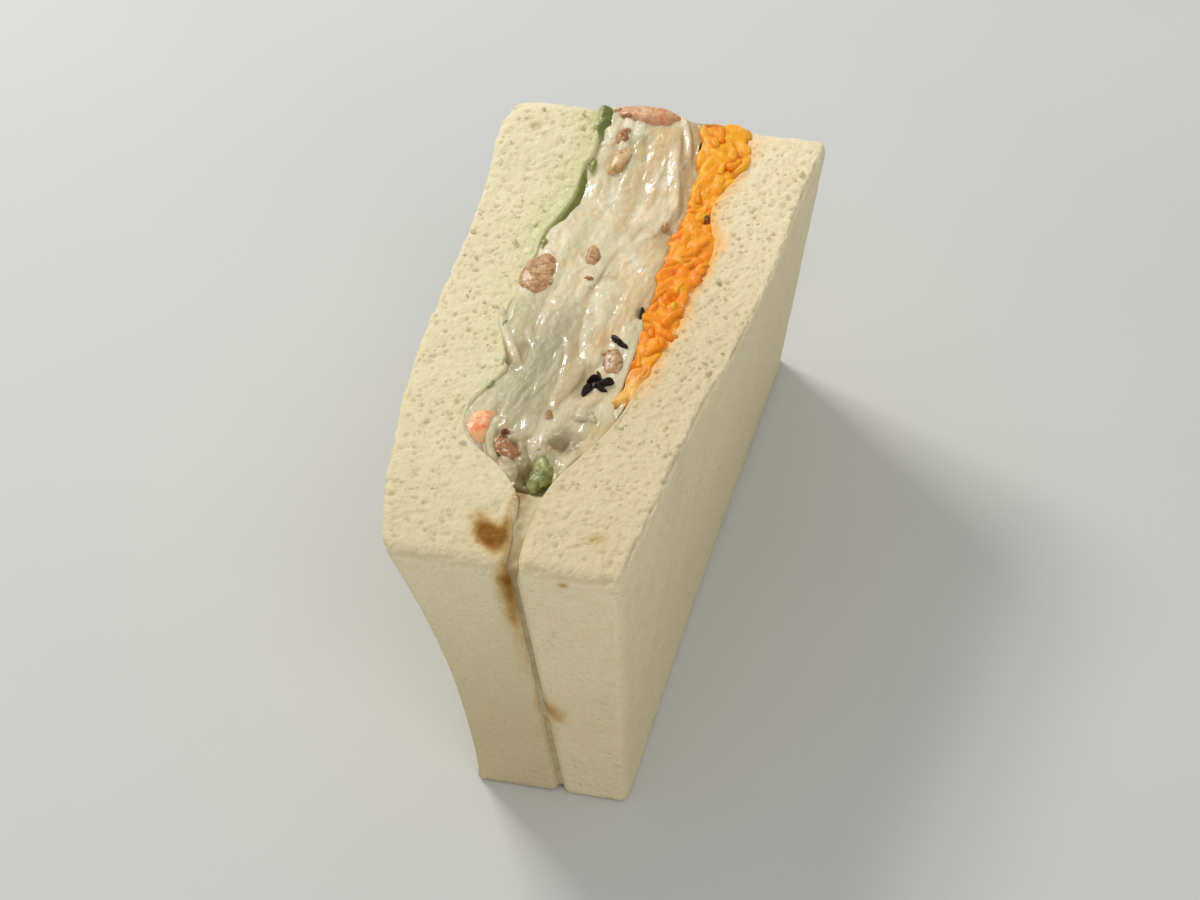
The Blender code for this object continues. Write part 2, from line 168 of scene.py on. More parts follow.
def soft_noise(points: Array, spacing: float | Sequence[float], seed: int = 0) -> Array:
    """Smooth noise from -1 to 1: random values at a lattice's corners, eased by 6t^5 - 15t^4 + 10t^3.

    Args:
        points: Points along the last axis.
        spacing: The lattice's spacing, one for all axes or one for each.
        seed: Which of the many noises this is.

    Returns:
        The noise at each point.
    """
    place = points / np.asarray(spacing, dtype=float)
    home = np.floor(place)
    t = place - home
    ease = t * t * t * (t * (6 * t - 15) + 10)
    total = np.zeros(points.shape[:-1])
    for corner in itertools.product((0, 1), repeat=3):
        share = np.prod(np.where(np.array(corner) == 1, ease, 1 - ease), axis=-1)
        total += share * cell_numbers(home + corner, seed)
    return 2 * total - 1


def rough_noise(points: Array, spacing: float, seed: int = 0, octaves: int = 3) -> Array:
    """Soft noises added up, each of half the spacing and half the height of the one before."""
    return sum(soft_noise(points, spacing / 2**n, seed + 17 * n) / 2**n for n in range(octaves))


# ---- Where everything lies ----


@dataclass
class Pocket:
    """The faces between which the slices and the layers of the filling lie.

    The pocket closes downwards onto a seam: every surface keeps its share of the pocket's width.
    """

    front: float = -47.5
    back: float = 49.5
    height: float = 47.5
    cut_face: Rows = (
        (-47.5, -18.2, 0.9, 1.9, 18),
        (-40, -20.2, 0.2, 1.6, 18.7),
        (-33, -21.5, -1, 2.3, 19.3),
        (-28.5, -22.3, -5, 3.8, 19.6),
        (-24, -23, -10.8, 5.8, 19.8),
        (-18, -23.8, -13.3, 8.2, 20.2),
        (-9, -24.5, -11.6, 10, 21),
        (1, -25, -14.8, 11.6, 22.5),
        (12, -25.2, -14.2, 11.6, 23.3),
        (21, -25.2, -14.3, 13.2, 23.9),
        (31, -25.2, -12, 10.6, 23.9),
        (41, -25, -11.8, 13.2, 24.4),
        (49.5, -24, -12.6, 10.8, 24.8),
    )
    foot: Rows = ((-47.5, -7.8, 5.3, 15.6), (0, -9.5, 3.6, 14.8), (49.5, -9.5, 3, 14.8))
    lean_front: float = 2.0
    lean_middle: float = 1.3
    pocket_foot: float = 0.06
    pocket_power: float = 0.85
    left_corner_rise: float = 3.2
    right_corner_rise: float = 1.2
    front_dip: float = 0.8
    wave_height: float = 0.35
    wave_along: float = 7.0
    wave_across: float = 9.0
    highest_share: float = 1.08
    lettuce_rows: Rows = (
        (-14, 0.9), (0, 1.1), (14, 1.2), (20, 2.3), (27, 3.3),
        (33, 2.3), (38, 1.3), (45, 2.6), (49.5, 2.2),
    )
    carrot_rows: Rows = (
        (-12, 1.6), (-5, 2.6), (4, 4.2), (12, 4.2), (21, 6.2),
        (31, 3), (36, 4.8), (42, 7.2), (49.5, 5),
    )
    least_lettuce: float = 0.8
    least_carrot: float = 0.7
    lettuce_front: float = -14.0
    carrot_front: float = -12.0
    cabbage_front: float = -31.0
    lettuce_foot: float = 7.0
    cabbage_foot: float = 8.0
    carrot_foot: float = 13.0
    widening: float = 5.0
    lettuce_sink: float = 0.2
    back_inset: float = 0.6
    lettuce_stations: int = 16
    lettuce_levels: int = 8

    @property
    def filling_back(self) -> float:
        """Where the layers of the filling end."""
        return self.back - self.back_inset

    @cached_property
    def edges(self) -> list[Curve]:
        """At the cut face: the left slice's outer and inner edge, and the right one's inner and outer."""
        return [curve_through(self.cut_face, column) for column in range(1, 5)]

    @cached_property
    def feet(self) -> list[Curve]:
        """At the foot: the left slice's outer edge, the seam and the right slice's outer edge."""
        return [curve_through(self.foot, column) for column in range(1, 4)]

    def top(self, x: Array, y: Array) -> Array:
        """The height of the cut face: nearly level, its back corners a little raised, with soft waves.

        Args:
            x: Places across the slices.
            y: Places along the cut face.

        Returns:
            The heights there.
        """
        rise = mix(self.left_corner_rise, self.right_corner_rise, smooth_step(-22, 12, x))
        back_corner = rise * smooth_step(28, 46, y)
        dip = self.front_dip * (1 - smooth_step(self.front, self.front + 14, y))
        waves = self.wave_height * np.sin(y / self.wave_along) * np.cos(x / self.wave_across)
        return self.height + back_corner - dip + waves

    def share(self, z: Array) -> Array:
        """The share of the sandwich's height at z."""
        return np.clip(z / self.height, 0.0, self.highest_share)

    def place(self, top_x: Array, y: Array, z: Array) -> Array:
        """Where a surface of the filling that stands at top_x in the cut face lies at height z.

        Args:
            top_x: Its place in the cut face.
            y: Places along the cut face.
            z: Heights.

        Returns:
            Its places across the slices.
        """
        share = self.share(z)
        middle_top = (self.edges[1](y) + self.edges[2](y)) / 2
        middle = mix(self.feet[1](y), middle_top, share)
        opening = np.maximum((share - self.pocket_foot) / (1 - self.pocket_foot), 0.0) ** self.pocket_power
        return middle + (top_x - middle_top) * opening

    def inside(self, x: Array, y: Array, z: Array) -> Array:
        """Where points that stand at x in the cut face lie at height z, kept clear of both slices."""
        return np.clip(self.place(x, y, z), self.left_inner(y, z) + GAP, self.right_inner(y, z) - GAP)

    def left_inner(self, y: Array, z: Array) -> Array:
        """The left slice's face towards the filling."""
        return self.place(self.edges[1](y), y, z) - 0.5 * GAP

    def right_inner(self, y: Array, z: Array) -> Array:
        """The right slice's face towards the filling."""
        return self.place(self.edges[2](y), y, z) + 0.5 * GAP

    def left_outer(self, y: Array, z: Array) -> Array:
        """The left slice's outer face, which leans out the more the higher it is."""
        lean = mix(self.lean_front, self.lean_middle, smooth_step(self.front, 0.0, y))
        return mix(self.feet[0](y), self.edges[0](y), self.share(z) ** lean)

    def right_outer(self, y: Array, z: Array) -> Array:
        """The right slice's outer face."""
        return mix(self.feet[2](y), self.edges[3](y), self.share(z))

    def lettuce_outer(self, y: Array, z: Array) -> Array:
        """The lettuce's face towards the left slice."""
        return self.left_inner(y, z) + GAP

    def lettuce_inner(self, y: Array, z: Array) -> Array:
        """The lettuce's face towards the cabbage."""
        thickness = mix(self.least_lettuce, curve_through(self.lettuce_rows)(y), self.share(z) ** 2)
        return self.lettuce_outer(y, z) + thickness

    def carrot_inner(self, y: Array, z: Array) -> Array:
        """The carrot's face towards the cabbage."""
        thickness = mix(self.least_carrot, curve_through(self.carrot_rows)(y), self.share(z))
        return self.right_inner(y, z) - GAP - thickness

    def cabbage_left(self, y: Array, z: Array) -> Array:
        """The left limit of the cabbage: the lettuce, or the bread itself in front of it."""
        beside = smooth_step(self.lettuce_front - self.widening, self.lettuce_front - GAP, y)
        return mix(self.left_inner(y, z), self.lettuce_inner(y, z), beside) + GAP

    def cabbage_right(self, y: Array, z: Array) -> Array:
        """The right limit of the cabbage: the carrot, or the bread itself in front of it."""
        beside = smooth_step(self.carrot_front - self.widening, self.carrot_front - GAP, y)
        return mix(self.right_inner(y, z), self.carrot_inner(y, z), beside) - GAP

    @cached_property
    def shift(self) -> Array:
        """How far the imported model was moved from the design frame.

        The lettuce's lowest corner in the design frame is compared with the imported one's: its outer face was
        built on an even lattice of stations and levels.
        """
        y = np.linspace(self.lettuce_front, self.filling_back, self.lettuce_stations + 1)
        levels = np.linspace(0, 1, self.lettuce_levels + 1)
        y, level = np.meshgrid(y, levels)
        z = mix(self.lettuce_foot, self.top(0.0, y) - self.lettuce_sink, level)
        lowest = np.array([self.lettuce_outer(y, z).min(), self.lettuce_front, self.lettuce_foot])
        return np.array(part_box("lettuce")[0]) / MM - lowest


POCKET = Pocket()


# ---- Skins: grids of points that become meshes ----


@dataclass
class Skin:
    """A closed surface in the design frame, with what its material reads at each point: 0 unless stored."""

    points: Array
    faces: list[Array]
    attributes: dict[str, Array] = field(default_factory=dict)

    def piece(self, name: str, finish: "Finish", nodes: Names) -> None:
        """Puts the skin into Blender as a smooth mesh that rides on the sandwich.

        Args:
            name: The piece's name.
            finish: Its finish, which also knows the record's material slot.
            nodes: The CAD nodes that it stands for, if any.
        """
        mesh = bpy.data.meshes.new(name)
        mesh.vertices.add(len(self.points))
        mesh.vertices.foreach_set("co", ((self.points + POCKET.shift) * MM).astype(np.float32).ravel())
        corners = np.concatenate([face.ravel() for face in self.faces]).astype(np.int32)
        sizes = np.concatenate([np.full(len(face), face.shape[1]) for face in self.faces])
        starts = np.concatenate([[0], np.cumsum(sizes)[:-1]]).astype(np.int32)
        mesh.loops.add(len(corners))
        mesh.loops.foreach_set("vertex_index", corners)
        mesh.polygons.add(len(sizes))
        mesh.polygons.foreach_set("loop_start", starts)
        mesh.update(calc_edges=True)
        mesh.validate()
        for label, values in self.attributes.items():
            layer = mesh.attributes.new(label, "FLOAT", "POINT")
            layer.data.foreach_set("value", np.asarray(values, dtype=np.float32).ravel())
        mesh.shade_smooth()
        mesh.materials.append(finish.material)
        obj = bpy.data.objects.new(name, mesh)
        bpy.context.scene.collection.objects.link(obj)
        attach(obj, BODY)
        if nodes:
            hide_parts(*nodes)
        LOG.info("%s: %d points, %d faces", name, len(self.points), len(sizes))


def merged(skins: Sequence[Skin]) -> Skin:
    """Several skins as one, each still closed by itself.

    Args:
        skins: Skins with the same attributes.

    Returns:
        The one skin.
    """
    starts = np.cumsum([0] + [len(skin.points) for skin in skins[:-1]])
    faces = [face + start for skin, start in zip(skins, starts) for face in skin.faces]
    labels = skins[0].attributes.keys()
    attributes = {label: np.concatenate([skin.attributes[label] for skin in skins]) for label in labels}
    return Skin(np.concatenate([skin.points for skin in skins]), faces, attributes)


class Part:
    """A piece of the sandwich: its name, its finish, the CAD nodes that it stands for and its skin."""

    name: str
    finish: "Finish"
    nodes: Names
    skin: Skin

    def build(self) -> None:
        """Makes the piece."""
        skin = washed(self.skin) if self.finish.washes else self.skin
        skin.piece(self.name, self.finish, self.nodes)


def balls(middles: Array, radii: Array, roughness: float, seed: int, rings: int, sides: int) -> Skin:
    """Many small rough balls in one skin: middle + radii e (1 + roughness n), with e a direction and n noise.

    Args:
        middles: The balls' middles.
        radii: Their radii along X, Y and Z.
        roughness: How uneven they are.
        seed: Which noise they follow.
        rings: How many rings each has.
        sides: How many points lie on a ring.

    Returns:
        The balls' surfaces, with no attributes yet.
    """
    ball = Ball(rings, sides)
    noise = rough_noise(ball.points[None] + 3.7 * np.arange(len(middles))[:, None, None], 1.2, seed, 2)
    points = middles[:, None] + radii[:, None] * ball.points * (1 + roughness * noise)[..., None]
    starts = len(ball.points) * np.arange(len(middles))
    faces = [(face[None] + starts[:, None, None]).reshape(-1, face.shape[1]) for face in ball.faces]
    return Skin(points.reshape(-1, 3), faces)


def quads(index: Array) -> Array:
    """The four-sided faces between neighbours in a two-way grid of point numbers."""
    return joined(index[:-1, :-1], index[1:, :-1], index[1:, 1:], index[:-1, 1:]).reshape(-1, 4)


class Layer:
    """A block between two faces with a lattice on its skin: shares u, v and w of its sides at each point.

    It lies at y = mix(ends, v) and z = mix(foot, top, w) until it is rounded. Its foot is one flat face, and
    its levels crowd towards the top: w = s + g s (1 - s) of the even level s.
    """

    def __init__(self, counts: Counts, crowding: float, left: Face, right: Face, ends: Pair) -> None:
        """Numbers the points on the skin, and makes the faces between them.

        Args:
            counts: How many points lie along each side.
            crowding: The share g by which the levels crowd towards the top.
            left: The face on its left.
            right: The face on its right.
            ends: Where it starts and ends along Y.
        """
        on_skin = np.zeros(counts, dtype=bool)
        on_skin[[0, -1], :, :] = True
        on_skin[:, [0, -1], :] = True
        on_skin[:, :, -1] = True
        index = np.full(counts, -1)
        index[on_skin] = np.arange(on_skin.sum())
        steps = np.nonzero(on_skin)
        self.u, self.v, level = (step / (count - 1) for step, count in zip(steps, counts))
        self.w = level + crowding * level * (1 - level)
        ring = np.concatenate([
            index[:-1, 0, 0], index[-1, :-1, 0], index[:0:-1, -1, 0], index[0, :0:-1, 0],
        ])
        self.faces = [
            quads(index[0].T), quads(index[-1]), quads(index[:, 0]), quads(index[:, -1].T),
            quads(index[:, :, -1]), ring[None, ::-1],
        ]
        self.left, self.right, self.ends = left, right, ends
        self.y = mix(*ends, self.v)

    def stand(self, foot: float, top: Array, least: float = 0.0) -> None:
        """Gives the layer its heights and with them its thickness.

        Args:
            foot: The height of its foot.
            top: The height of its top at each point.
            least: How thick it is at least.
        """
        self.foot, self.top = foot, top
        self.z = mix(foot, top, self.w)
        self.thickness = np.maximum(self.right(self.y, self.z) - self.left(self.y, self.z), least)

    def round_off(self, low: Array, high: Array, foot_radius: float) -> Array:
        """Rounds the edges, and works out each point's place, its share of the way across and its depth.

        A point beyond the core, which is the block less its radii, is drawn onto the ellipsoid round the
        nearest core point: core + radii * e / |e|, where e is its way out of the core in radii.

        Args:
            low: The rounding at the sides' low ends, along X, Y and Z.
            high: The rounding at their high ends.
            foot_radius: How far the foot's edge is tucked in.

        Returns:
            The direction out of the skin at each point.
        """
        spans = joined(self.thickness, self.ends[1] - self.ends[0], self.top - self.foot)
        reach = joined(self.u, self.v, self.w) * spans
        low, high = (np.broadcast_to(radii, reach.shape) for radii in (low, high))
        core = np.clip(reach, low, spans - high)
        radius = np.where(reach < core, np.maximum(low, TINY), high)
        e = unit((reach - core) / radius)
        out = unit(e / radius)
        place = core + e * radius
        tuck = foot_radius * (1 - np.sqrt(1 - np.clip(1 - place[:, 2] / foot_radius, 0, 1) ** 2))
        place[:, :2] -= out[:, :2] * tuck[:, None]
        self.across = place[:, 0] / self.thickness
        self.y, self.z = place[:, 1] + self.ends[0], place[:, 2] + self.foot
        self.below = self.top - self.z
        return out


class Ball:
    """The skin of a ball of rings with welded poles, whose points are directions of length one."""

    def __init__(self, rings: int, sides: int) -> None:
        """Makes the ball's directions and faces.

        Args:
            rings: How many rings lie between the poles.
            sides: How many points lie on a ring.
        """
        polar = np.pi * np.arange(1, rings + 1) / (rings + 1)
        turn = 2 * np.pi * np.arange(sides) / sides
        polar, turn = np.meshgrid(polar, turn, indexing="ij")
        ring = joined(np.sin(polar) * np.cos(turn), np.sin(polar) * np.sin(turn), np.cos(polar))
        self.points = np.concatenate([ring.reshape(-1, 3), [[0, 0, 1], [0, 0, -1]]])
        index = np.arange(rings * sides).reshape(rings, sides)
        index = np.concatenate([index, index[:, :1]], axis=1)
        top, foot = rings * sides, rings * sides + 1
        first, last = index[0], index[-1]
        caps = np.concatenate([
            joined(top, first[:-1], first[1:]),
            joined(foot, last[1:], last[:-1]),
        ])
        self.faces = [quads(index), caps]


@dataclass
class Ribbons:
    """Many shreds in one skin: a flat oval profile carried along a bowed path from start to end.

    The path is the straight line plus sideways bow sin(pi t), upwards arch sin(pi t) and a soft wobble. The
    profile is (a cos q, b sin q), turned about the path by roll + twist t and thinned to tip_share at the
    ends by the curve (1 - |2t - 1|^p)^(1/2), with p the bluntness.
    """

    start: Array
    end: Array
    width: Array
    depth: Array
    tint: Array
    bow: Array
    arch: Array
    roll: Array
    twist: Array
    tip_share: float = 0.35
    bluntness: float = 8.0
    wobble: float = 0.25
    wobble_spacing: float = 4.0
    roughness: float = 0.08
    roughness_spacing: float = 1.2
    rings: int = 18
    sides: int = 10
    seed: int = 0

    @property
    def points(self) -> Array:
        """The rings of every shred, as an array of shreds, rings, sides and coordinates."""
        count = len(self.start)
        t = (1 - np.cos(np.pi * np.linspace(0, 1, self.rings))) / 2
        q = 2 * np.pi * np.arange(self.sides) / self.sides
        run = self.end - self.start
        length = np.linalg.norm(run, axis=-1)
        along = unit(run)
        side = unit(np.cross(along, np.array([0.0, 0.0, 1.0])))
        up = np.cross(side, along)
        swell = np.sin(np.pi * t)
        path = self.start[:, None] + run[:, None] * t[:, None]
        path += side[:, None] * (self.bow[:, None] * swell)[..., None]
        path += up[:, None] * (self.arch[:, None] * swell)[..., None]
        track = joined(np.arange(count)[:, None] * 9.7, length[:, None] * t / self.wobble_spacing, 0.5)
        for axis in (side, up):
            shake = self.wobble * soft_noise(track, 1.0, self.seed + 1)
            path += axis[:, None] * shake[..., None]
            track = track + 31.7
        thin = mix(self.tip_share, 1.0, np.sqrt(np.maximum(1 - np.abs(2 * t - 1) ** self.bluntness, 0)))
        half_width = 0.5 * self.width[:, None, None] * thin[:, None]
        half_depth = 0.5 * self.depth[:, None, None] * thin[:, None]
        flat, raised = half_width * np.cos(q), half_depth * np.sin(q)
        angle = (self.roll[:, None] + self.twist[:, None] * (t - 0.5))[..., None]
        across = flat * np.cos(angle) - raised * np.sin(angle)
        upwards = flat * np.sin(angle) + raised * np.cos(angle)
        offset = side[:, None, None] * across[..., None] + up[:, None, None] * upwards[..., None]
        grown = path[:, :, None] + offset
        swelling = 1 + self.roughness * soft_noise(grown, self.roughness_spacing, self.seed + 5)
        return path[:, :, None] + offset * swelling[..., None]

    def skin(self, move: Callable[[Array], Array]) -> Skin:
        """The shreds as one skin, with their tint at each point.

        Args:
            move: Moves the points, for instance in between the limits of a layer.

        Returns:
            The skin.
        """
        points = self.points
        index = np.arange(points[..., 0].size).reshape(points.shape[:3])
        around = np.concatenate([index, index[:, :, :1]], axis=2)
        walls = joined(around[:, :-1, :-1], around[:, 1:, :-1], around[:, 1:, 1:], around[:, :-1, 1:])
        faces = [walls.reshape(-1, 4), index[:, 0], index[:, -1, ::-1]]
        tint = np.repeat(self.tint, self.rings * self.sides)
        return Skin(move(points.reshape(-1, 3)), faces, {"tint": tint})


# ---- Material graphs ----


def srgb(red: float, green: float, blue: float) -> Colour:
    """A screen colour, 0 to 255, as the linear colour that Blender's sockets hold."""
    shares = np.array([red, green, blue]) / 255
    return (*np.where(shares <= 0.04045, shares / 12.92, ((shares + 0.055) / 1.055) ** 2.4).tolist(), 1.0)


def arithmetic(operation: str, swapped: bool = False) -> "Callable[[Wire, Wire | float], Wire]":
    """Makes an arithmetic method for wires.

    Args:
        operation: What the Math node does.
        swapped: Whether the other value comes first.

    Returns:
        A method that adds the node.
    """

    def method(self: "Wire", other: "Wire | float") -> "Wire":
        """The node's value for both."""
        sockets = {0: other, 1: self} if swapped else {0: self, 1: other}
        return self.graph.wire("ShaderNodeMath", {"operation": operation}, sockets)

    return method


class Wire:
    """A value on its way through a material: arithmetic on it adds Math nodes."""

    __add__ = __radd__ = arithmetic("ADD")
    __sub__ = arithmetic("SUBTRACT")
    __rsub__ = arithmetic("SUBTRACT", swapped=True)
    __mul__ = __rmul__ = arithmetic("MULTIPLY")
    __pow__ = arithmetic("POWER")

    def __init__(self, graph: "Graph", socket: bpy.types.NodeSocket) -> None:
        """Wraps an output socket of the graph."""
        self.graph, self.socket = graph, socket

    def step(self, low: float, high: float) -> "Wire":
        """0 below low, 1 above high, eased between."""
        settings = {"interpolation_type": "SMOOTHSTEP"}
        return self.graph.wire("ShaderNodeMapRange", settings, {0: self, 1: low, 2: high, 3: 0.0, 4: 1.0})


Value = Wire | float | Sequence[float]


class Graph:
    """The nodes of one material, ending in a Principled shader."""

    def __init__(self, name: str) -> None:
        """Starts a material with its Object coordinates.

        Args:
            name: The material's name.
        """
        self.material = bpy.data.materials.new(name)
        self.material.use_nodes = True
        self.tree = self.material.node_tree
        self.tree.nodes.clear()
        self.place = Wire(self, self.node("ShaderNodeTexCoord").outputs["Object"])

    def node(self, kind: str, settings: dict | None = None, sockets: dict | None = None) -> bpy.types.Node:
        """Adds a node.

        Args:
            kind: The node's type.
            settings: Its properties, which are set first.
            sockets: The values or wires of its input sockets, by name or number.

        Returns:
            The node.
        """
        node = self.tree.nodes.new(kind)
        for name, value in (settings or {}).items():
            setattr(node, name, value)
        for name, value in (sockets or {}).items():
            if isinstance(value, Wire):
                self.tree.links.new(value.socket, node.inputs[name])
            else:
                node.inputs[name].default_value = value
        return node

    def wire(self, kind: str, settings: dict, sockets: dict, output: int | str = 0) -> Wire:
        """Adds a node and gives one of its outputs."""
        return Wire(self, self.node(kind, settings, sockets).outputs[output])

    def attribute(self, name: str) -> Wire:
        """What the piece stores at each point under this name."""
        return self.wire("ShaderNodeAttribute", {"attribute_name": name}, {}, "Fac")

    def stretched(self, size: float, stretch: Sequence[float]) -> Wire:
        """The place, counted in features of the given number of millimetres, times the stretch."""
        scales = [1 / (size * MM * along) for along in stretch]
        return self.wire("ShaderNodeVectorMath", {"operation": "MULTIPLY"}, {0: self.place, 1: scales})

    def noise(
        self, size: float, detail: float = 2.0, stretch: Sequence[float] = (1, 1, 1), bend: float = 0.0
    ) -> Wire:
        """Noise from 0 to 1 whose features are about the given number of millimetres, times the stretch."""
        sockets = {"Vector": self.stretched(size, stretch), "Scale": 1, "Detail": detail, "Distortion": bend}
        return self.wire("ShaderNodeTexNoise", {}, sockets)

    def cells(self, size: float, stretch: Sequence[float], soft: float = 0.4) -> Wire:
        """The distance from the middle of rounded cells of about the given number of millimetres."""
        sockets = {"Vector": self.stretched(size, stretch), "Scale": 1.0, "Smoothness": soft}
        return self.wire("ShaderNodeTexVoronoi", {"feature": "SMOOTH_F1"}, sockets, "Distance")

    def painted(self, colour: Value, *coats: tuple[Value, Value]) -> Wire:
        """A colour under coats of paint, each of another colour and laid on by its share.

        Args:
            colour: The ground.
            coats: Each coat's colour and share.

        Returns:
            The colour on top.
        """
        for coat, share in coats:
            colour = self.wire("ShaderNodeMix", {"data_type": "RGBA"}, {0: share, 6: colour, 7: coat}, 2)
        return colour

    def bump(self, height: Wire, depth: float, strength: float = 1.0) -> Wire:
        """A Bump node over a height from 0 to 1, of the given depth in millimetres."""
        sockets = {"Height": height, "Distance": depth * MM, "Strength": strength}
        return self.wire("ShaderNodeBump", {}, sockets)

    def finish(self, sockets: dict) -> None:
        """Ends the graph in a Principled shader with these sockets."""
        shader = self.wire("ShaderNodeBsdfPrincipled", {"subsurface_method": "RANDOM_WALK"}, sockets)
        self.node("ShaderNodeOutputMaterial", sockets={"Surface": shader})


def surface(colour: Value, roughness: Value, specular: float = 0.5) -> dict:
    """The Principled sockets of a plain surface."""
    return {"Base Color": colour, "Roughness": roughness, "Specular IOR Level": specular}


def coated(weight: Value, roughness: float) -> dict:
    """The Principled sockets of a clear wet coat."""
    return {"Coat Weight": weight, "Coat Roughness": roughness}


def glow_inside(weight: float, reach: float, radius: Point) -> dict:
    """The Principled sockets of light that spreads below the surface, as far as reach in millimetres."""
    return {"Subsurface Weight": weight, "Subsurface Scale": reach * MM, "Subsurface Radius": radius}


@dataclass(frozen=True)
class Finish:
    """A finish: its material's name, its slot in the record, whether it shows the washes, and its shader."""

    name: str
    slot: ClassVar[str] = ""
    washes: ClassVar[bool] = False

    @cached_property
    def graph(self) -> Graph:
        """The nodes of its material."""
        return Graph(self.name)

    @cached_property
    def material(self) -> bpy.types.Material:
        """The finish as a Blender material, made when the first piece asks for it."""
        self.graph.finish(self.sockets)
        return self.graph.material

    @property
    def sockets(self) -> dict:
        """The sockets of the Principled shader: none but Blender's own values."""
        return {}


@dataclass(frozen=True)
class BreadFinish(Finish):
    """Soft white crumb: painted shade, darker and warmer, in its pits and holes and where the slice is shaded;
    coloured where the filling wets it; brown in stained spots and painted shade along the seam.
    """

    crumb: Colour
    slot: ClassVar[str] = "bread"
    pale: Colour = srgb(243, 233, 202)
    dull: Colour = srgb(204, 186, 146)
    # The colour of the painted shade in the pits and holes, also laid on in broad random patches of darker
    # tone.
    pit_shade_and_tone: Colour = srgb(196, 176, 126)
    bleed: Colour = srgb(214, 210, 152)
    # The colours of the stained spots, at their core and around it, which also paint shade along the seam's
    # rims and in the valley.
    stain_and_shade: Colour = srgb(134, 86, 16)
    halo_and_shade: Colour = srgb(196, 156, 84)
    roughness: float = 0.86

    @property
    def sockets(self) -> dict:
        """What feeds its shader."""
        graph = self.graph
        pore = graph.attribute("pore")
        mottle = graph.noise(1.7, 3.0)
        broad = graph.noise(9.0, 2.0)
        fine = graph.cells(0.62, (1.0, 1.3, 1.1))
        holes = graph.cells(1.0, (1.0, 1.3, 0.9), 0.1).step(0.36, 0.12) * mottle.step(0.42, 0.62)
        ragged = graph.attribute("stain_and_shade") + (mottle - 0.5) * 0.5
        colour = graph.painted(
            self.crumb,
            (self.pale, mottle.step(0.35, 0.75) * 0.5),
            (self.pit_shade_and_tone, broad.step(0.45, 0.8) * 0.14),
            (self.dull, graph.attribute("shade")),
            (self.bleed, graph.attribute("bleed")),
            # Painted shade: darker by the depth of each pit, and in the fine holes.
            (self.pit_shade_and_tone, (pore ** 0.8) * 0.5 + holes * 0.34),
            # Stained spots, and painted shade along the seam's rims and in the valley, in the same browns.
            (self.halo_and_shade, ragged.step(0.02, 0.6) * 0.85),
            (self.stain_and_shade, ragged.step(0.3, 1.0)),
        )
        height = fine.step(0.05, 0.75) * 0.5 + mottle * 0.3 - holes * 0.35
        return {
            **surface(colour, self.roughness, 0.25),
            "Normal": graph.bump(height, 0.22, 0.75),
            **glow_inside(0.22, 1.6, (1.0, 0.72, 0.42)),
        }


@dataclass(frozen=True)
class CabbageFinish(Finish):
    """Wet, half clear shreds under thin dressing, streaked along the fibre; painted shade, browner, in the
    creases between them and greenish brown in the hollows, and painted highlights on the wettest spots.
    """

    slot: ClassVar[str] = "cabbage"
    washes: ClassVar[bool] = True
    grey: Colour = srgb(204, 190, 152)
    pale: Colour = srgb(238, 224, 190)
    green: Colour = srgb(186, 184, 138)
    beige: Colour = srgb(218, 182, 130)
    olive_shade: Colour = srgb(128, 106, 58)
    # Browner tone in random patches, and the colour of the painted shade in the creases between the pads.
    seam: Colour = srgb(168, 136, 86)
    dull: Colour = srgb(172, 164, 130)
    painted_highlight: Colour = srgb(246, 240, 218)
    roughness: float = 0.46
    wet_share: float = 0.55

    @property
    def sockets(self) -> dict:
        """What feeds its shader."""
        graph = self.graph
        fibre = graph.noise(0.8, 3.0, (1.0, 6.0, 1.0), 0.6)
        cloud = graph.noise(2.6, 3.0, (1.0, 2.0, 1.0), 0.5)
        flesh = graph.noise(1.2, 3.0, (1.0, 1.5, 1.0), 1.0)
        olive_shade = graph.attribute("olive_shade")
        wet = graph.noise(1.9, 2.0, (1.0, 1.7, 1.0)).step(0.51, 0.6) * (1 - olive_shade)
        gloss_and_painted_highlight = graph.attribute("gloss_and_painted_highlight")
        colour = graph.painted(
            self.grey,
            (self.pale, graph.attribute("tint")),
            (self.pale, cloud.step(0.5, 0.7) * 0.45),
            (self.green, graph.attribute("green")),
            (self.beige, graph.attribute("beige")),
            (self.beige, cloud.step(0.46, 0.3) * 0.5),
            (self.grey, fibre.step(0.52, 0.72) * 0.5),
            (self.seam, flesh.step(0.58, 0.74) * 0.35),
            # Painted shade in the creases between the pads.
            (self.seam, graph.attribute("seam").step(0.45, 0.95) * 0.5),
            (self.dull, graph.attribute("dull")),
            # Painted shade, dull greenish brown, in the hollows of the bed.
            (self.olive_shade, olive_shade),
            # Painted highlights: near-white dabs where the surface is wettest.
            (self.painted_highlight, gloss_and_painted_highlight * cloud.step(0.42, 0.62) * 0.75),
        )
        return {
            **surface(colour, self.roughness - wet * 0.22, 0.4),
            **coated(wet * self.wet_share + gloss_and_painted_highlight * (1 - self.wet_share), 0.06),
            "IOR": 1.38,
            "Normal": graph.bump(fibre * 0.2 + flesh * (gloss_and_painted_highlight * 1.6 + 0.8), 0.34, 0.6),
            **glow_inside(0.5, 2.0, (1.0, 0.8, 0.5)),
        }


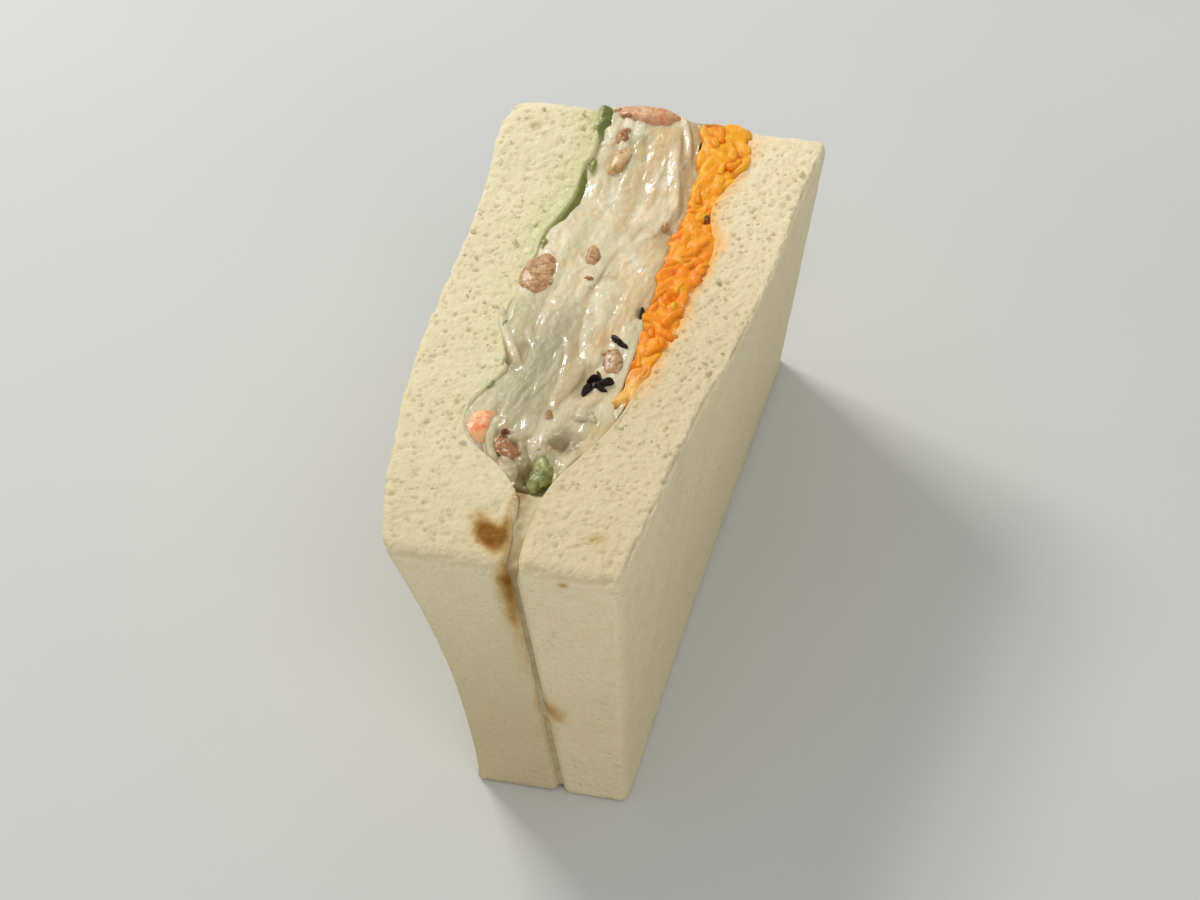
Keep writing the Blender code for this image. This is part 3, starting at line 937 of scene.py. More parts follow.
@dataclass(frozen=True)
class CarrotFinish(Finish):
    """Moist orange shreds with fine grooves along the fibre, paler cores, and painted shade in the creases
    between them.
    """

    slot: ClassVar[str] = "carrot"
    washes: ClassVar[bool] = True
    bright: Colour = srgb(255, 182, 44)
    deep: Colour = srgb(250, 128, 8)
    faded: Colour = srgb(244, 196, 110)
    # The colour of the painted shade in the creases between the stubs.
    gap: Colour = srgb(176, 74, 16)
    roughness: float = 0.46

    @property
    def sockets(self) -> dict:
        """What feeds its shader."""
        graph = self.graph
        fibre = graph.noise(0.5, 2.0, (1.0, 4.0, 1.0), 0.6)
        colour = graph.painted(
            self.deep,
            (self.bright, graph.attribute("tint") * 0.7 + fibre.step(0.3, 0.7) * 0.3),
            (self.faded, graph.attribute("beige") * 0.8),
            # Painted shade in the creases between the stubs.
            (self.gap, graph.attribute("seam").step(0.6, 1.0) * 0.45),
        )
        return {
            **surface(colour, fibre * 0.2 + (self.roughness - 0.1), 0.2),
            **coated(0.05, 0.12),
            "Normal": graph.bump(fibre, 0.16, 0.6),
            **glow_inside(0.4, 1.6, (1.0, 0.4, 0.08)),
        }


@dataclass(frozen=True)
class LeafFinish(Finish):
    """Lettuce: from nearly white ribs over yellow green to a dark frilled edge, by the piece's tint."""

    slot: ClassVar[str] = "lettuce"
    rib: Colour = srgb(228, 222, 174)
    flesh: Colour = srgb(204, 204, 132)
    leaf: Colour = srgb(156, 156, 88)
    dark: Colour = srgb(108, 112, 40)

    @property
    def sockets(self) -> dict:
        """What feeds its shader."""
        graph = self.graph
        veins = graph.noise(0.9, 3.0, (1.0, 1.0, 4.0), 0.8)
        green = graph.attribute("tint") + (veins - 0.5) * 0.22
        colour = graph.painted(
            self.rib,
            (self.flesh, green.step(0.0, 0.4)),
            (self.leaf, green.step(0.35, 0.75)),
            (self.dark, green.step(0.7, 1.0)),
        )
        return {
            **surface(colour, veins * 0.2 + 0.34),
            **coated(0.12, 0.15),
            "Normal": graph.bump(veins, 0.2, 0.6),
            **glow_inside(0.3, 1.2, (0.8, 0.9, 0.3)),
        }


@dataclass(frozen=True)
class MeatFinish(Finish):
    """Cut ham and the like: mottled lean with paler fat flecks, moist."""

    slot: ClassVar[str] = "ham"
    lean: Colour
    dark: Colour
    fat: Colour = srgb(236, 206, 162)
    fat_share: float = 0.6
    roughness: float = 0.36

    @property
    def sockets(self) -> dict:
        """What feeds its shader."""
        graph = self.graph
        patches = graph.noise(1.5, 3.0, (1.0, 1.0, 1.4), 0.8)
        grain = graph.noise(0.5, 3.0)
        colour = graph.painted(
            self.lean,
            (self.dark, patches.step(0.42, 0.66)),
            (self.fat, grain.step(0.52, 0.7) * self.fat_share),
        )
        return {
            **surface(colour, grain * 0.25 + (self.roughness - 0.1), 0.35),
            **coated(0.12, 0.12),
            "Normal": graph.bump(grain * 0.4 + patches * 0.6, 0.2, 0.45),
            **glow_inside(0.3, 1.5, (1.0, 0.45, 0.25)),
        }


@dataclass(frozen=True)
class WoodEarFinish(Finish):
    """Black fungus: nearly black brown jelly, wet and finely wrinkled."""

    slot: ClassVar[str] = "wood_ear"
    black: Colour = srgb(30, 16, 10)
    brown: Colour = srgb(78, 42, 22)

    @property
    def sockets(self) -> dict:
        """What feeds its shader."""
        graph = self.graph
        wrinkle = graph.noise(0.8, 3.0)
        colour = graph.painted(self.black, (self.brown, wrinkle.step(0.55, 0.8)))
        return {
            **surface(colour, wrinkle * 0.2 + 0.4, 0.25),
            **coated(0.12, 0.15),
            "Normal": graph.bump(wrinkle, 0.25, 0.7),
        }


@dataclass(frozen=True)
class DressingFinish(Finish):
    """Thin dressing that has soaked into the rims: cloudy and dull, brown where it has dried, and brown as
    painted shadow along the left rim and in the gap by the filling.
    """

    slot: ClassVar[str] = "cabbage"
    body: Colour = srgb(206, 194, 152)
    thin: Colour = srgb(188, 170, 126)
    amber_and_shadow: Colour = srgb(146, 112, 60)

    @property
    def sockets(self) -> dict:
        """What feeds its shader."""
        graph = self.graph
        cloud = graph.noise(1.6, 2.0)
        colour = graph.painted(
            self.thin, (self.body, cloud.step(0.35, 0.65)), (self.amber_and_shadow, graph.attribute("amber_and_shadow"))
        )
        return {
            **surface(colour, 0.6, 0.3),
            "Normal": graph.bump(cloud, 0.3, 0.7),
            **glow_inside(0.5, 2.0, (1.0, 0.85, 0.6)),
        }


@dataclass(frozen=True)
class FloorFinish(Finish):
    """A plain pale board with the faintest unevenness."""

    pale: Colour = srgb(206, 207, 203)
    shade: Colour = srgb(199, 200, 196)

    @property
    def sockets(self) -> dict:
        """What feeds its shader."""
        graph = self.graph
        return surface(graph.painted(self.shade, (self.pale, graph.noise(60.0, 2.0))), 0.7, 0.3)


# ---- Bread ----


@dataclass(frozen=True)
class Foam:
    """Open crumb: round or stretched bubbles, at most one in each cell of a lattice."""

    cell: float
    share: float
    radii: Pair
    stretch: Point
    seed: int

    def depth(self, points: Array, inward: Array) -> Array:
        """How deep the bubbles that a surface point lies in reach below it.

        A ray from the point inwards leaves a bubble of centre c and radius r after b + sqrt(r^2 - h^2), with
        b how far along the ray the centre lies and h its distance from the ray.

        Args:
            points: Points on the uncarved surface.
            inward: The directions into the bread.

        Returns:
            The depths.
        """
        stretch = np.array(self.stretch) * self.cell
        place = points / stretch
        ray = inward / stretch
        reach = 1 / np.linalg.norm(ray, axis=-1)
        ray = ray * reach[:, None]
        home = np.floor(place)
        deepest = np.zeros(len(points))
        for corner in itertools.product((-1, 0, 1), repeat=3):
            cell = home + corner
            drawn = [cell_numbers(cell, self.seed + n) for n in range(5)]
            centre = cell + 0.5 + 0.8 * (joined(*drawn[:3]) - 0.5)
            radius = mix(self.radii[0], self.radii[1], drawn[3] ** 2) * (drawn[4] < self.share)
            way = centre - place
            b = (way * ray).sum(axis=-1)
            far = (way * way).sum(axis=-1)
            inside = far < radius**2
            leaves = b + np.sqrt(np.maximum(radius**2 - far + b * b, 0))
            deepest = np.maximum(deepest, np.where(inside, leaves, 0.0))
        return deepest * reach


@dataclass(frozen=True)
class Spot:
    """A soft spot: full at its middle, fading over its reach along each axis."""

    middle: Point
    reach: Point
    strength: float

    def at(self, points: Array) -> Array:
        """The spot's strength at each point: strength exp(-d^2), with d the distance in reaches."""
        d = (points - np.array(self.middle)) / np.array(self.reach)
        return self.strength * np.exp(-(d * d).sum(axis=-1))


def spots(z: float, deep: float, *rows: tuple[float, ...]) -> tuple[Spot, ...]:
    """Spots that lie equally high and reach equally deep.

    Args:
        z: The height of their middles.
        deep: Their reach along Z.
        rows: For each its x and y, its reaches along X and Y, and its strength.
    """
    return tuple(Spot((x, y, z), (wide, long, deep), strength) for x, y, wide, long, strength in rows)


@dataclass
class BreadSlice(Part):
    """One slice: a rounded block between its left and its right face, carved by the bubbles of its crumb."""

    name: str
    nodes: Names
    left: Face
    right: Face
    filling_side: int
    finish: BreadFinish
    bleed_reach: float
    bleed_rows: Rows
    shade_rows: Rows
    stains_and_shade: tuple[Spot, ...]
    foot_shade: float
    back_radius: float = 2.4
    back_drop: float = 2.2
    overhang: Rows = ((-47.5, 0), (49.5, 0))
    counts: Counts = (40, 320, 100)
    crowding: float = 0.25
    outer_radius: float = 1.1
    inner_radius: float = 0.45
    seam_rounding: float = 0.8
    seam_swell: float = 1.8
    front_radius: float = 2.8
    front_drop: float = 0.8
    foot_radius: float = 0.6
    foams: tuple[Foam, ...] = (
        Foam(2.6, 0.18, (0.1, 0.28), (1.0, 1.2, 0.8), 3),
        Foam(1.35, 0.3, (0.1, 0.38), (0.9, 1.2, 1.0), 11),
        Foam(0.75, 0.75, (0.2, 0.48), (1.0, 1.1, 1.0), 23),
    )
    bend: float = 0.5
    bend_spacing: float = 2.3
    open_share: Point = (0.45, 0.22, 1.0)
    closed_end: Pair = (0.8, 4.5)
    deepest: float = 0.42
    fuzz: float = 0.16
    least_fuzz: float = 0.3
    slump: float = 0.14
    slump_spacing: float = 14.0
    tear: float = 0.45
    tear_spacing: float = 2.2
    crown: float = 0.3
    most_stain_and_shade: float = 0.95

    @property
    def skin(self) -> Skin:
        """The slice's surface, with its pores, the colour that the filling leaves, its stained spots and its
        painted shade.
        """
        layer = Layer(self.counts, self.crowding, self.left, self.right, (POCKET.front, POCKET.back))
        middle = (self.left(layer.y, POCKET.height) + self.right(layer.y, POCKET.height)) / 2
        layer.stand(0.0, POCKET.top(middle, layer.y))
        out = layer.round_off(*self.radii(layer), self.foot_radius)
        points = self.uncarved(layer)
        pores, openness = self.pores(points, out)
        footing = smooth_step(0.0, 1.5, layer.z) * (layer.w > 0)
        footing = footing * (1 - 0.9 * np.clip(out[:, 0] * self.filling_side, 0, 1))
        carved = points - out * ((pores + self.wear(points, out, openness)) * footing)[:, None]
        foot_shade = self.foot_shade * (1 - smooth_step(4.0, 52.0, layer.z))
        cut_shade = curve_through(self.shade_rows)(layer.y) * smooth_step(0.1, 0.7, out[:, 2])
        stain_and_shade = sum(spot.at(points) for spot in self.stains_and_shade)
        attributes = {
            "shade": np.clip(cut_shade + foot_shade, 0, 1),
            "pore": np.clip(pores / self.deepest, 0, 1),
            "bleed": self.bleed(points),
            "stain_and_shade": np.clip(stain_and_shade, 0, self.most_stain_and_shade),
        }
        return Skin(carved, layer.faces, attributes)

    def radii(self, layer: Layer) -> tuple[Array, Array]:
        """The rounding at the low and high ends of the three sides: small along the rim by the filling.

        Args:
            layer: The slice's block.

        Returns:
            The radii at the low and at the high ends, along X, Y and Z.
        """
        inwards = layer.u if self.filling_side > 0 else 1 - layer.u
        seam = self.seam_rounding * smooth_step(-29.0, -37.0, layer.y)
        down = mix(self.outer_radius, self.inner_radius + seam, smooth_step(0.3, 0.9, inwards))
        across = (self.outer_radius, self.inner_radius)[:: self.filling_side]
        low = joined(across[0] + 0 * down, self.front_radius, 0)
        high = joined(across[1], self.back_radius, down)
        seam_side = high if self.filling_side > 0 else low
        seam_side[:, 0] += seam
        high[:, 2] += self.front_drop * (1 - smooth_step(0.0, 0.06, layer.v))
        high[:, 2] += self.back_drop * (1 - smooth_step(0.0, 0.07, 1 - layer.v))
        return low, high

    def uncarved(self, layer: Layer) -> Array:
        """The smooth slice: swollen over the filling on its inner half, its back corners worn down.

        Args:
            layer: The slice's block, rounded.

        Returns:
            Its points.
        """
        y, z, share = layer.y, layer.z, layer.across
        inwards = share if self.filling_side > 0 else 1 - share
        swell = self.overhang_at(y, layer.below) + self.pinch(y, z, layer.below)
        x = mix(self.left(y, z), self.right(y, z), share) + self.filling_side * swell * inwards
        corner = np.abs(2 * share - 1) ** 3 * smooth_step(37.0, 48.0, y) * smooth_step(10.0, 0.0, layer.below)
        return joined(x, y, z - self.crown * corner)

    def pores(self, points: Array, out: Array) -> tuple[Array, Array]:
        """How deep the bubbles that the knife has opened are, and how open the crumb is.

        The finest ones show on the cut face alone. A depth d is held below the deepest D by D tanh(d / D).

        Args:
            points: Points on the smooth slice.
            out: The directions out of it.

        Returns:
            The depths, and the openness from 0 to 1.
        """
        bends = [soft_noise(points, self.bend_spacing, 40 + n) for n in range(3)]
        bent = points + self.bend * joined(*bends)
        *large, finest = [foam.depth(bent, -out) for foam in self.foams]
        finest = finest * mix(0.3, 1.0, self.upwards(out))
        openness = (out * out) @ np.array(self.open_share)
        from_end = np.minimum(points[:, 1] - POCKET.front, POCKET.back - points[:, 1])
        openness = openness * mix(self.open_share[1], 1.0, smooth_step(*self.closed_end, from_end))
        depth = np.maximum.reduce([*large, finest])
        return self.deepest * np.tanh(depth / self.deepest) * openness, openness

    def wear(self, points: Array, out: Array, openness: Array) -> Array:
        """How far the skin lies below the smooth slice apart from its pores: fuzz, slump and torn edges.

        Args:
            points: Points on the smooth slice.
            out: The directions out of it.
            openness: How open the crumb is there.

        Returns:
            The depths.
        """
        grain = mix(soft_noise(points, 1.9, 8), rough_noise(points, 1.0, 7, 2), self.upwards(out))
        fuzz = self.fuzz * (1 + grain) * mix(self.least_fuzz, 1.0, openness)
        slump = self.slump * (1 + soft_noise(points, self.slump_spacing, 9))
        on_edge = 4 * out[:, 2] ** 2 * (1 - out[:, 2] ** 2) * (out[:, 0] * self.filling_side < 0.5)
        torn = np.maximum(rough_noise(points, self.tear_spacing, 57) + 0.3, 0)
        return fuzz + (slump + self.tear * on_edge * torn)

    def upwards(self, out: Array) -> Array:
        """1 on the cut face and 0 on the sides."""
        return smooth_step(0.3, 0.8, out[:, 2])

    def overhang_at(self, y: Array, below: Array) -> Array:
        """How far the slice reaches over the filling: only near the cut face."""
        uneven = 0.12 * soft_noise(on_line(y), 1.7, 33)
        return curve_through(self.overhang)(y) * (1 + uneven) * smooth_step(3.0, 1.2, below)

    def pinch(self, y: Array, z: Array, below: Array) -> Array:
        """How far the slice swells into the seam in front of the filling: half of it, below its open top."""
        gap = np.clip(POCKET.right_inner(y, z) - POCKET.left_inner(y, z) - 0.1, 0, self.seam_swell)
        return 0.5 * gap * smooth_step(1.2, 4.2, below) * smooth_step(-31.0, -37.0, y)

    def bleed(self, points: Array) -> Array:
        """How far the filling's colour has crept into the slice: most at its rim, in uneven tongues.

        Args:
            points: Points on the smooth slice.

        Returns:
            The colour's strength, from 0 to 1.
        """
        x, y, z = points.T
        inner = self.right(y, z) if self.filling_side > 0 else self.left(y, z)
        away = np.abs(inner + self.filling_side * self.overhang_at(y, POCKET.top(x, y) - z) - x)
        reach = self.bleed_reach * (1 + 0.6 * rough_noise(points, 5.0, 31))
        return curve_through(self.bleed_rows)(y) * np.exp(-((away / np.maximum(reach, 0.3)) ** 2))


@dataclass
class Bread:
    """The two slices."""

    seam_stains_and_rim_shadow: tuple[Spot, ...] = (
        Spot((-5.2, -38.6, 47), (1.7, 1.7, 3), 0.4),
        Spot((-4, -41, 47), (1.8, 1.7, 3), 0.75),
        Spot((-2.6, -42, 47), (1.7, 1.7, 3), 0.95),
        Spot((-1.4, -43.4, 47), (1.8, 2, 3), 0.75),
        # These two thin spots paint shadow down the left slice's rim, brown like the stained spots around
        # them.
        Spot((-0.9, -40, 46.5), (0.9, 2.8, 3), 0.6),
        Spot((-1.3, -34.5, 46.5), (0.7, 3, 3), 0.4),
        Spot((0.6, -46.8, 43.5), (1.5, 2.5, 3), 0.65),
        Spot((1.2, -47.5, 37.5), (1.8, 2, 4.5), 0.4),
        Spot((2.2, -47.5, 30), (1.5, 2, 6), 0.25),
    )
    valley_shade_and_stains: tuple[Spot, ...] = (
        # Painted shade on the right slice's rim, where it rounds down into the valley.
        Spot((1.6, -36.5, 46), (1.4, 4.5, 2.5), 0.4),
        Spot((1.2, -44, 45.5), (0.9, 3, 3), 0.45),
        Spot((12.5, -40, 47), (1.8, 1.5, 3), 0.35),
    )
    foot_stains: tuple[Spot, ...] = (
        Spot((4.6, -47.5, 18.5), (1.8, 2, 2.4), 0.45),
        Spot((6.6, -47.5, 17), (1.8, 2, 1.8), 0.35),
        Spot((4.9, -47.5, 12), (1.4, 2, 4), 0.25),
        Spot((1.6, -47.5, 41), (0.8, 1.6, 5), 0.4),
        Spot((9.3, -47.5, 44.3), (0.9, 1.5, 0.6), 0.6),
    )
    overhang: Rows = (
        (-47.5, 0), (-20, 0), (-15, 0.6), (-11, 1.25), (0, 1.4), (14, 1.5), (20, 1.6),
        (27, 1.7), (33, 1.6), (36, 1.8), (38.5, 2.5), (42, 2.8), (44.5, 2.5), (49.5, 2.4),
    )
    left_bleed: Rows = (
        (-47.5, 0), (-24, 0), (-10, 0.2), (4, 0.25), (14, 0.5), (22, 0.75), (36, 0.7),
        (49.5, 0.8),
    )
    right_bleed: Rows = ((-47.5, 0), (-16, 0), (-8, 0.6), (42, 0.7), (49.5, 0.5))
    left_shade: Rows = (
        (-47.5, 0.5), (-40, 0.4), (-25, 0.2), (0, 0.12), (20, 0.1), (35, 0), (49.5, 0),
    )
    right_shade: Rows = (
        (-47.5, 0.55), (-40, 0.5), (-10, 0.5), (8, 0.4), (20, 0.2), (35, 0), (49.5, 0),
    )

    @property
    def slices(self) -> tuple[BreadSlice, BreadSlice]:
        """The left slice, whose soft rim hangs over the lettuce, and the right one."""
        left = BreadSlice(
            "slice_left", ("bread_left",), POCKET.left_outer, POCKET.left_inner, filling_side=1,
            finish=BreadFinish("Crumb of the left slice", srgb(233, 221, 180)),
            bleed_reach=3.6, bleed_rows=self.left_bleed, shade_rows=self.left_shade,
            stains_and_shade=self.seam_stains_and_rim_shadow + self.foot_stains, foot_shade=0.95,
            back_radius=4.5, back_drop=3.2, overhang=self.overhang, crown=1.5,
        )
        right = BreadSlice(
            "slice_right", ("bread_right",), POCKET.right_inner, POCKET.right_outer, filling_side=-1,
            finish=BreadFinish("Crumb of the right slice", srgb(238, 221, 180), bleed=srgb(252, 190, 112)),
            bleed_reach=1.6, bleed_rows=self.right_bleed, shade_rows=self.right_shade,
            stains_and_shade=self.valley_shade_and_stains + self.foot_stains, foot_shade=0.35, seam_rounding=1.2,
        )
        return left, right

    def build(self) -> None:
        """Makes both slices."""
        for bread_slice in self.slices:
            bread_slice.build()


@dataclass
class Crumbs(Part):
    """Loose crumbs on the cut face, most by the rims along the filling."""

    name: str = "crumbs"
    nodes: Names = ()
    finish: BreadFinish = BreadFinish("Crumbs", srgb(233, 221, 180))
    count: int = 110
    radii: Pair = (0.12, 0.42)
    from_front: float = 12.0
    from_back: float = 3.0
    sunk: float = 0.15
    seed: int = 9

    @property
    def skin(self) -> Skin:
        """The crumbs' surfaces, on the two slices in turn."""
        draw = np.random.default_rng(self.seed)
        y = draw.uniform(POCKET.front + self.from_front, POCKET.back - self.from_back, self.count)
        share = 0.85 * draw.uniform(0, 1, self.count) ** 2 + 0.02
        left = mix(POCKET.left_inner(y, POCKET.height), POCKET.left_outer(y, POCKET.height), share)
        right = mix(POCKET.right_inner(y, POCKET.height), POCKET.right_outer(y, POCKET.height), share)
        x = np.where(np.arange(self.count) % 2 == 0, left, right)
        radius = mix(*self.radii, draw.uniform(0, 1, self.count) ** 3)
        middle = joined(x, y, POCKET.top(x, y) - self.sunk)
        sizes = radius[:, None] * draw.uniform(0.7, 1.3, (self.count, 3))
        return balls(middle, sizes, roughness=0.5, seed=self.seed, rings=6, sides=9)


# ---- Filling ----


class Wash(Enum):
    """Hues of the dressed cabbage, each as a few spots: green and beige that it takes on from what lies in and
    on it, painted shade in its hollows, darker greyer patches, and painted highlights with a wet coat on the
    wettest spots.
    """

    GREEN = (
        Spot((-12.5, 2, 47), (2, 6, 8), 0.35),
        Spot((-9.5, 39, 48), (1.6, 4.5, 6), 0.3),
        Spot((1, -29, 46), (3, 3, 6), 0.7),
    )
    BEIGE = (
        Spot((4.8, 12, 47), (2, 12, 12), 0.15),
        Spot((4.5, 40, 48), (2, 9, 12), 0.4),
        Spot((-1.5, 46, 48), (4, 3.5, 8), 0.4),
        Spot((9.2, -11.5, 47), (2.5, 3, 8), 0.8),
        Spot((2, -0.5, 47), (1.4, 3, 8), 1),
    )
    # Painted shade, dull greenish brown, in the hollows of the bed.
    OLIVE_SHADE = (
        Spot((2.5, -22.3, 45.5), (2.6, 2.8, 9), 0.7),
        Spot((-4.8, -24.5, 45.5), (3.2, 2.8, 9), 0.6),
        Spot((-0.5, -27.5, 44.5), (3, 3, 9), 0.8),
        Spot((-1.8, -30.5, 46), (1.6, 2.2, 9), 0.6),
        Spot((-9.4, 42, 46), (0.9, 2.4, 3), 0.5),
    )
    DULL = spots(
        47, 10,
        (-4.9, -5, 4.4, 8.5, 0.9), (-5.5, -17, 4.5, 6, 0.6), (3, -17, 4, 4, 0.4),
        (-3, 3, 2.5, 4.5, 0.4),
    )
    # Where the wet coat is strongest and the painted highlights lie.
    GLOSS_AND_PAINTED_HIGHLIGHT = spots(
        47.5, 9,
        (-4.5, 45, 1.3, 1.5, 1), (-3, 43, 1, 1.3, 1), (-8.6, 41.5, 1.2, 1.6, 1),
        (2, 47.4, 1.2, 1, 1), (3, 35.5, 0.8, 3, 0.9), (1.8, 17.6, 1.2, 1.6, 1),
        (3.5, 15.5, 1.2, 1.2, 1), (-8.8, 3.5, 1.4, 1.4, 1), (-13, 2.5, 0.9, 1.2, 1),
        (-8.3, -18.8, 0.9, 0.9, 1), (-5, 30, 1, 2.4, 0.8),
    )

    def at(self, points: Array) -> Array:
        """How strong it is at each point."""
        return sum(spot.at(points) for spot in self.value)


def washed(skin: Skin) -> Skin:
    """The skin with the strength of each hue at its points, on top of what it has already.

    Args:
        skin: A skin, which is changed.

    Returns:
        The same skin.
    """
    zero = np.zeros(len(skin.points))
    for wash in Wash:
        label = wash.name.lower()
        skin.attributes[label] = np.clip(skin.attributes.get(label, zero) + wash.at(skin.points), 0, 1)
    return skin


def rims(*faces: Face) -> tuple[list[Curve], list[Curve]]:
    """Where faces meet the cut face, for each y, and where they meet the back end, for each z."""
    at_cut = [lambda y, face=face: face(y, POCKET.height) for face in faces]
    return at_cut, [lambda z, face=face: face(POCKET.back, z) for face in faces]


@dataclass
class Mosaic:
    """Shreds that the knife has pressed into the cut face, as one height over a layer.

    Each shred is a pad of height lift + tilt q - fall (|q|^p + |s|^p), with q across it in half widths and s
    along it in half lengths. Pads are joined by the soft maximum log(sum exp(k h)) / k. They follow the bend
    of the layer's middle line. Pads are rows of x, place along the layer, half width, half length, turn, bow,
    lift, tilt, tint, green and beige.
    """

    left: Curve
    right: Curve
    pads: Array
    fall: float = 0.36
    power: float = 4.0
    sharpness: float = 14.0
    floor: float = -0.6
    hues: Names = ("tint", "green", "beige")

    def line(self, along: Array) -> Array:
        """The layer's middle line."""
        return (self.left(along) + self.right(along)) / 2

    def over(self, x: Array, along: Array) -> tuple[Array, dict[str, Array]]:
        """The height at each place, and the pads' hues and the depth of the creases between them there.

        Args:
            x: Places across the layer.
            along: Places along it.

        Returns:
            The heights, and the value of each hue by its label.
        """
        bent = x - self.line(along)
        total = np.full(x.shape, math.exp(self.sharpness * self.floor))
        sums = {label: 0.3 * total for label in self.hues}
        sums["seam"] = total.copy()
        for x_0, along_0, half_width, half_length, turn, bow, lift, tilt, *hues in self.pads:
            near = np.nonzero(np.abs(along - along_0) < 1.5 * half_length + half_width)[0]
            dx, dy = bent[near] - x_0 + self.line(np.array(along_0)), along[near] - along_0
            s = (dx * math.sin(turn) + dy * math.cos(turn)) / half_length
            q = (dx * math.cos(turn) - dy * math.sin(turn) - bow * (1 - s * s)) / half_width
            drop = np.abs(q) ** self.power + np.abs(s) ** self.power
            height = np.maximum(lift + tilt * np.clip(q, -1, 1) - self.fall * drop, self.floor - 2)
            weight = np.exp(self.sharpness * height)
            total[near] += weight
            # How far below its pad's plateau the point lies: the mask of the painted shade in the creases.
            sums["seam"][near] += weight * np.minimum(drop, 1)
            for label, hue in zip(self.hues, hues):
                sums[label][near] += weight * hue
        return np.log(total) / self.sharpness, {label: added / total for label, added in sums.items()}


@dataclass
class Pads:
    """How the pads of a mosaic are drawn: how many, how large and how they lie."""

    count: int
    start: float
    end: float
    half_widths: Pair
    half_lengths: Pair
    turn: float
    bow: float
    lift: Pair
    tilt: float
    green: Pair = (-0.8, 0.8)
    beige: Pair = (-0.8, 0.7)

    def drawn(self, left: Curve, right: Curve, seed: int) -> Array:
        """Draws the pads between two edges, as rows for a mosaic.

        Args:
            left: The edge on the left.
            right: The edge on the right.
            seed: The seed of the random draws.

        Returns:
            The rows.
        """
        draw = np.random.default_rng(seed)
        share = (np.arange(self.count) + draw.uniform(0, 1, self.count)) / self.count
        along = mix(self.start, self.end, share)
        x = mix(left(along), right(along), draw.uniform(0.02, 0.98, self.count))
        spreads = (
            self.half_widths, self.half_lengths, (-self.turn, self.turn), (-self.bow, self.bow),
            self.lift, (-self.tilt, self.tilt), (0.0, 1.0), self.green, self.beige,
        )
        *shape, green, beige = [draw.uniform(*spread, self.count) for spread in spreads]
        return joined(x, along, *shape, np.maximum(green, 0), np.maximum(beige, 0))


@dataclass
class Bed(Part):
    """One layer: a rounded block between its two faces whose top and back are mosaics of shreds."""

    name: str
    nodes: Names
    finish: Finish
    left: Face
    right: Face
    front: float
    foot: float
    counts: Counts
    sink: float
    top: Mosaic
    back: Mosaic
    overlap: Pair
    unevenness: Pair
    hollows: tuple[Spot, ...]
    radii: Point = (0.35, 0.8, 0.5)
    grain: float = 0.08
    crowding: float = 0.4
    least: float = 0.4
    foot_radius: float = 0.2
    back_sink: float = 0.2
    dents: Pair = (0.05, 0.12)

    def level(self, x: Array, y: Array) -> tuple[Array, Array, dict[str, Array]]:
        """How far the cut top stands above the level it sinks to, how deep its hollows are, and its hues.

        Args:
            x: Places across the slices.
            y: Places along the cut face.

        Returns:
            The heights, the depths, and the value of each hue by its label.
        """
        height, hues = self.top.over(x, y)
        place = joined(x, y, POCKET.height)
        grain = soft_noise(place, (1.1, 2.4, 9.0), 8) + soft_noise(place, (0.5, 0.9, 9.0), 18)
        hollow = sum(spot.at(place) for spot in self.hollows) * (1 + 0.8 * rough_noise(place, 1.6, 28))
        return height + self.grain * grain, hollow, hues

    def reach(self, side: int, y: Array, below: Array) -> Array:
        """How far the rim on one side reaches over its neighbour: unevenly, and only near the cut face."""
        uneven = self.unevenness[side] * rough_noise(on_line(y, 7.3 * side), 3.1, 70 + side, 2)
        return (self.overlap[side] + uneven) * smooth_step(3.0, 0.8, below)

    @property
    def skin(self) -> Skin:
        """The layer's surface."""
        ends = self.front, POCKET.filling_back
        layer = Layer(self.counts, self.crowding, self.left, self.right, ends)
        top_x = mix(self.left(layer.y, POCKET.height), self.right(layer.y, POCKET.height), layer.u)
        layer.stand(self.foot, POCKET.top(top_x, layer.y) - self.sink, self.least)
        side = np.minimum(self.radii[0], layer.thickness * 0.45)
        low = joined(side, self.radii[1], 0)
        out = layer.round_off(low, low + (0.0, 0.0, self.radii[2]), self.foot_radius)
        y, z, below = layer.y, layer.z, layer.below
        left_rim = self.left(y, z) - self.reach(0, y, below)
        right_rim = self.right(y, z) + self.reach(1, y, below)
        x = mix(left_rim, right_rim, np.clip(layer.across, 0, 1))
        height, hollow, hues = self.level(x, y)
        depth, back_hues = self.back.over(x, z)
        upwards = np.clip(out[:, 2], 0, 1) * smooth_step(2.0, 0.4, below)
        backwards = np.clip(out[:, 1], 0, 1) * (1 - upwards)
        sideways = np.abs(out[:, 0]) * (1 - upwards)
        z = z + height * upwards - hollow * smooth_step(7.0, 0.2, below)
        points = joined(x, y + (depth - self.back_sink) * backwards, z)
        dents = np.abs(soft_noise(points, (2.0, 2.6, 2.2), 3)) * smooth_step(0.3, 2.0, below)
        points = points - out * ((self.dents[0] + self.dents[1] * dents) * sideways)[:, None]
        hues = {label: mix(values, back_hues[label], backwards) for label, values in hues.items()}
        return Skin(points, layer.faces, hues)


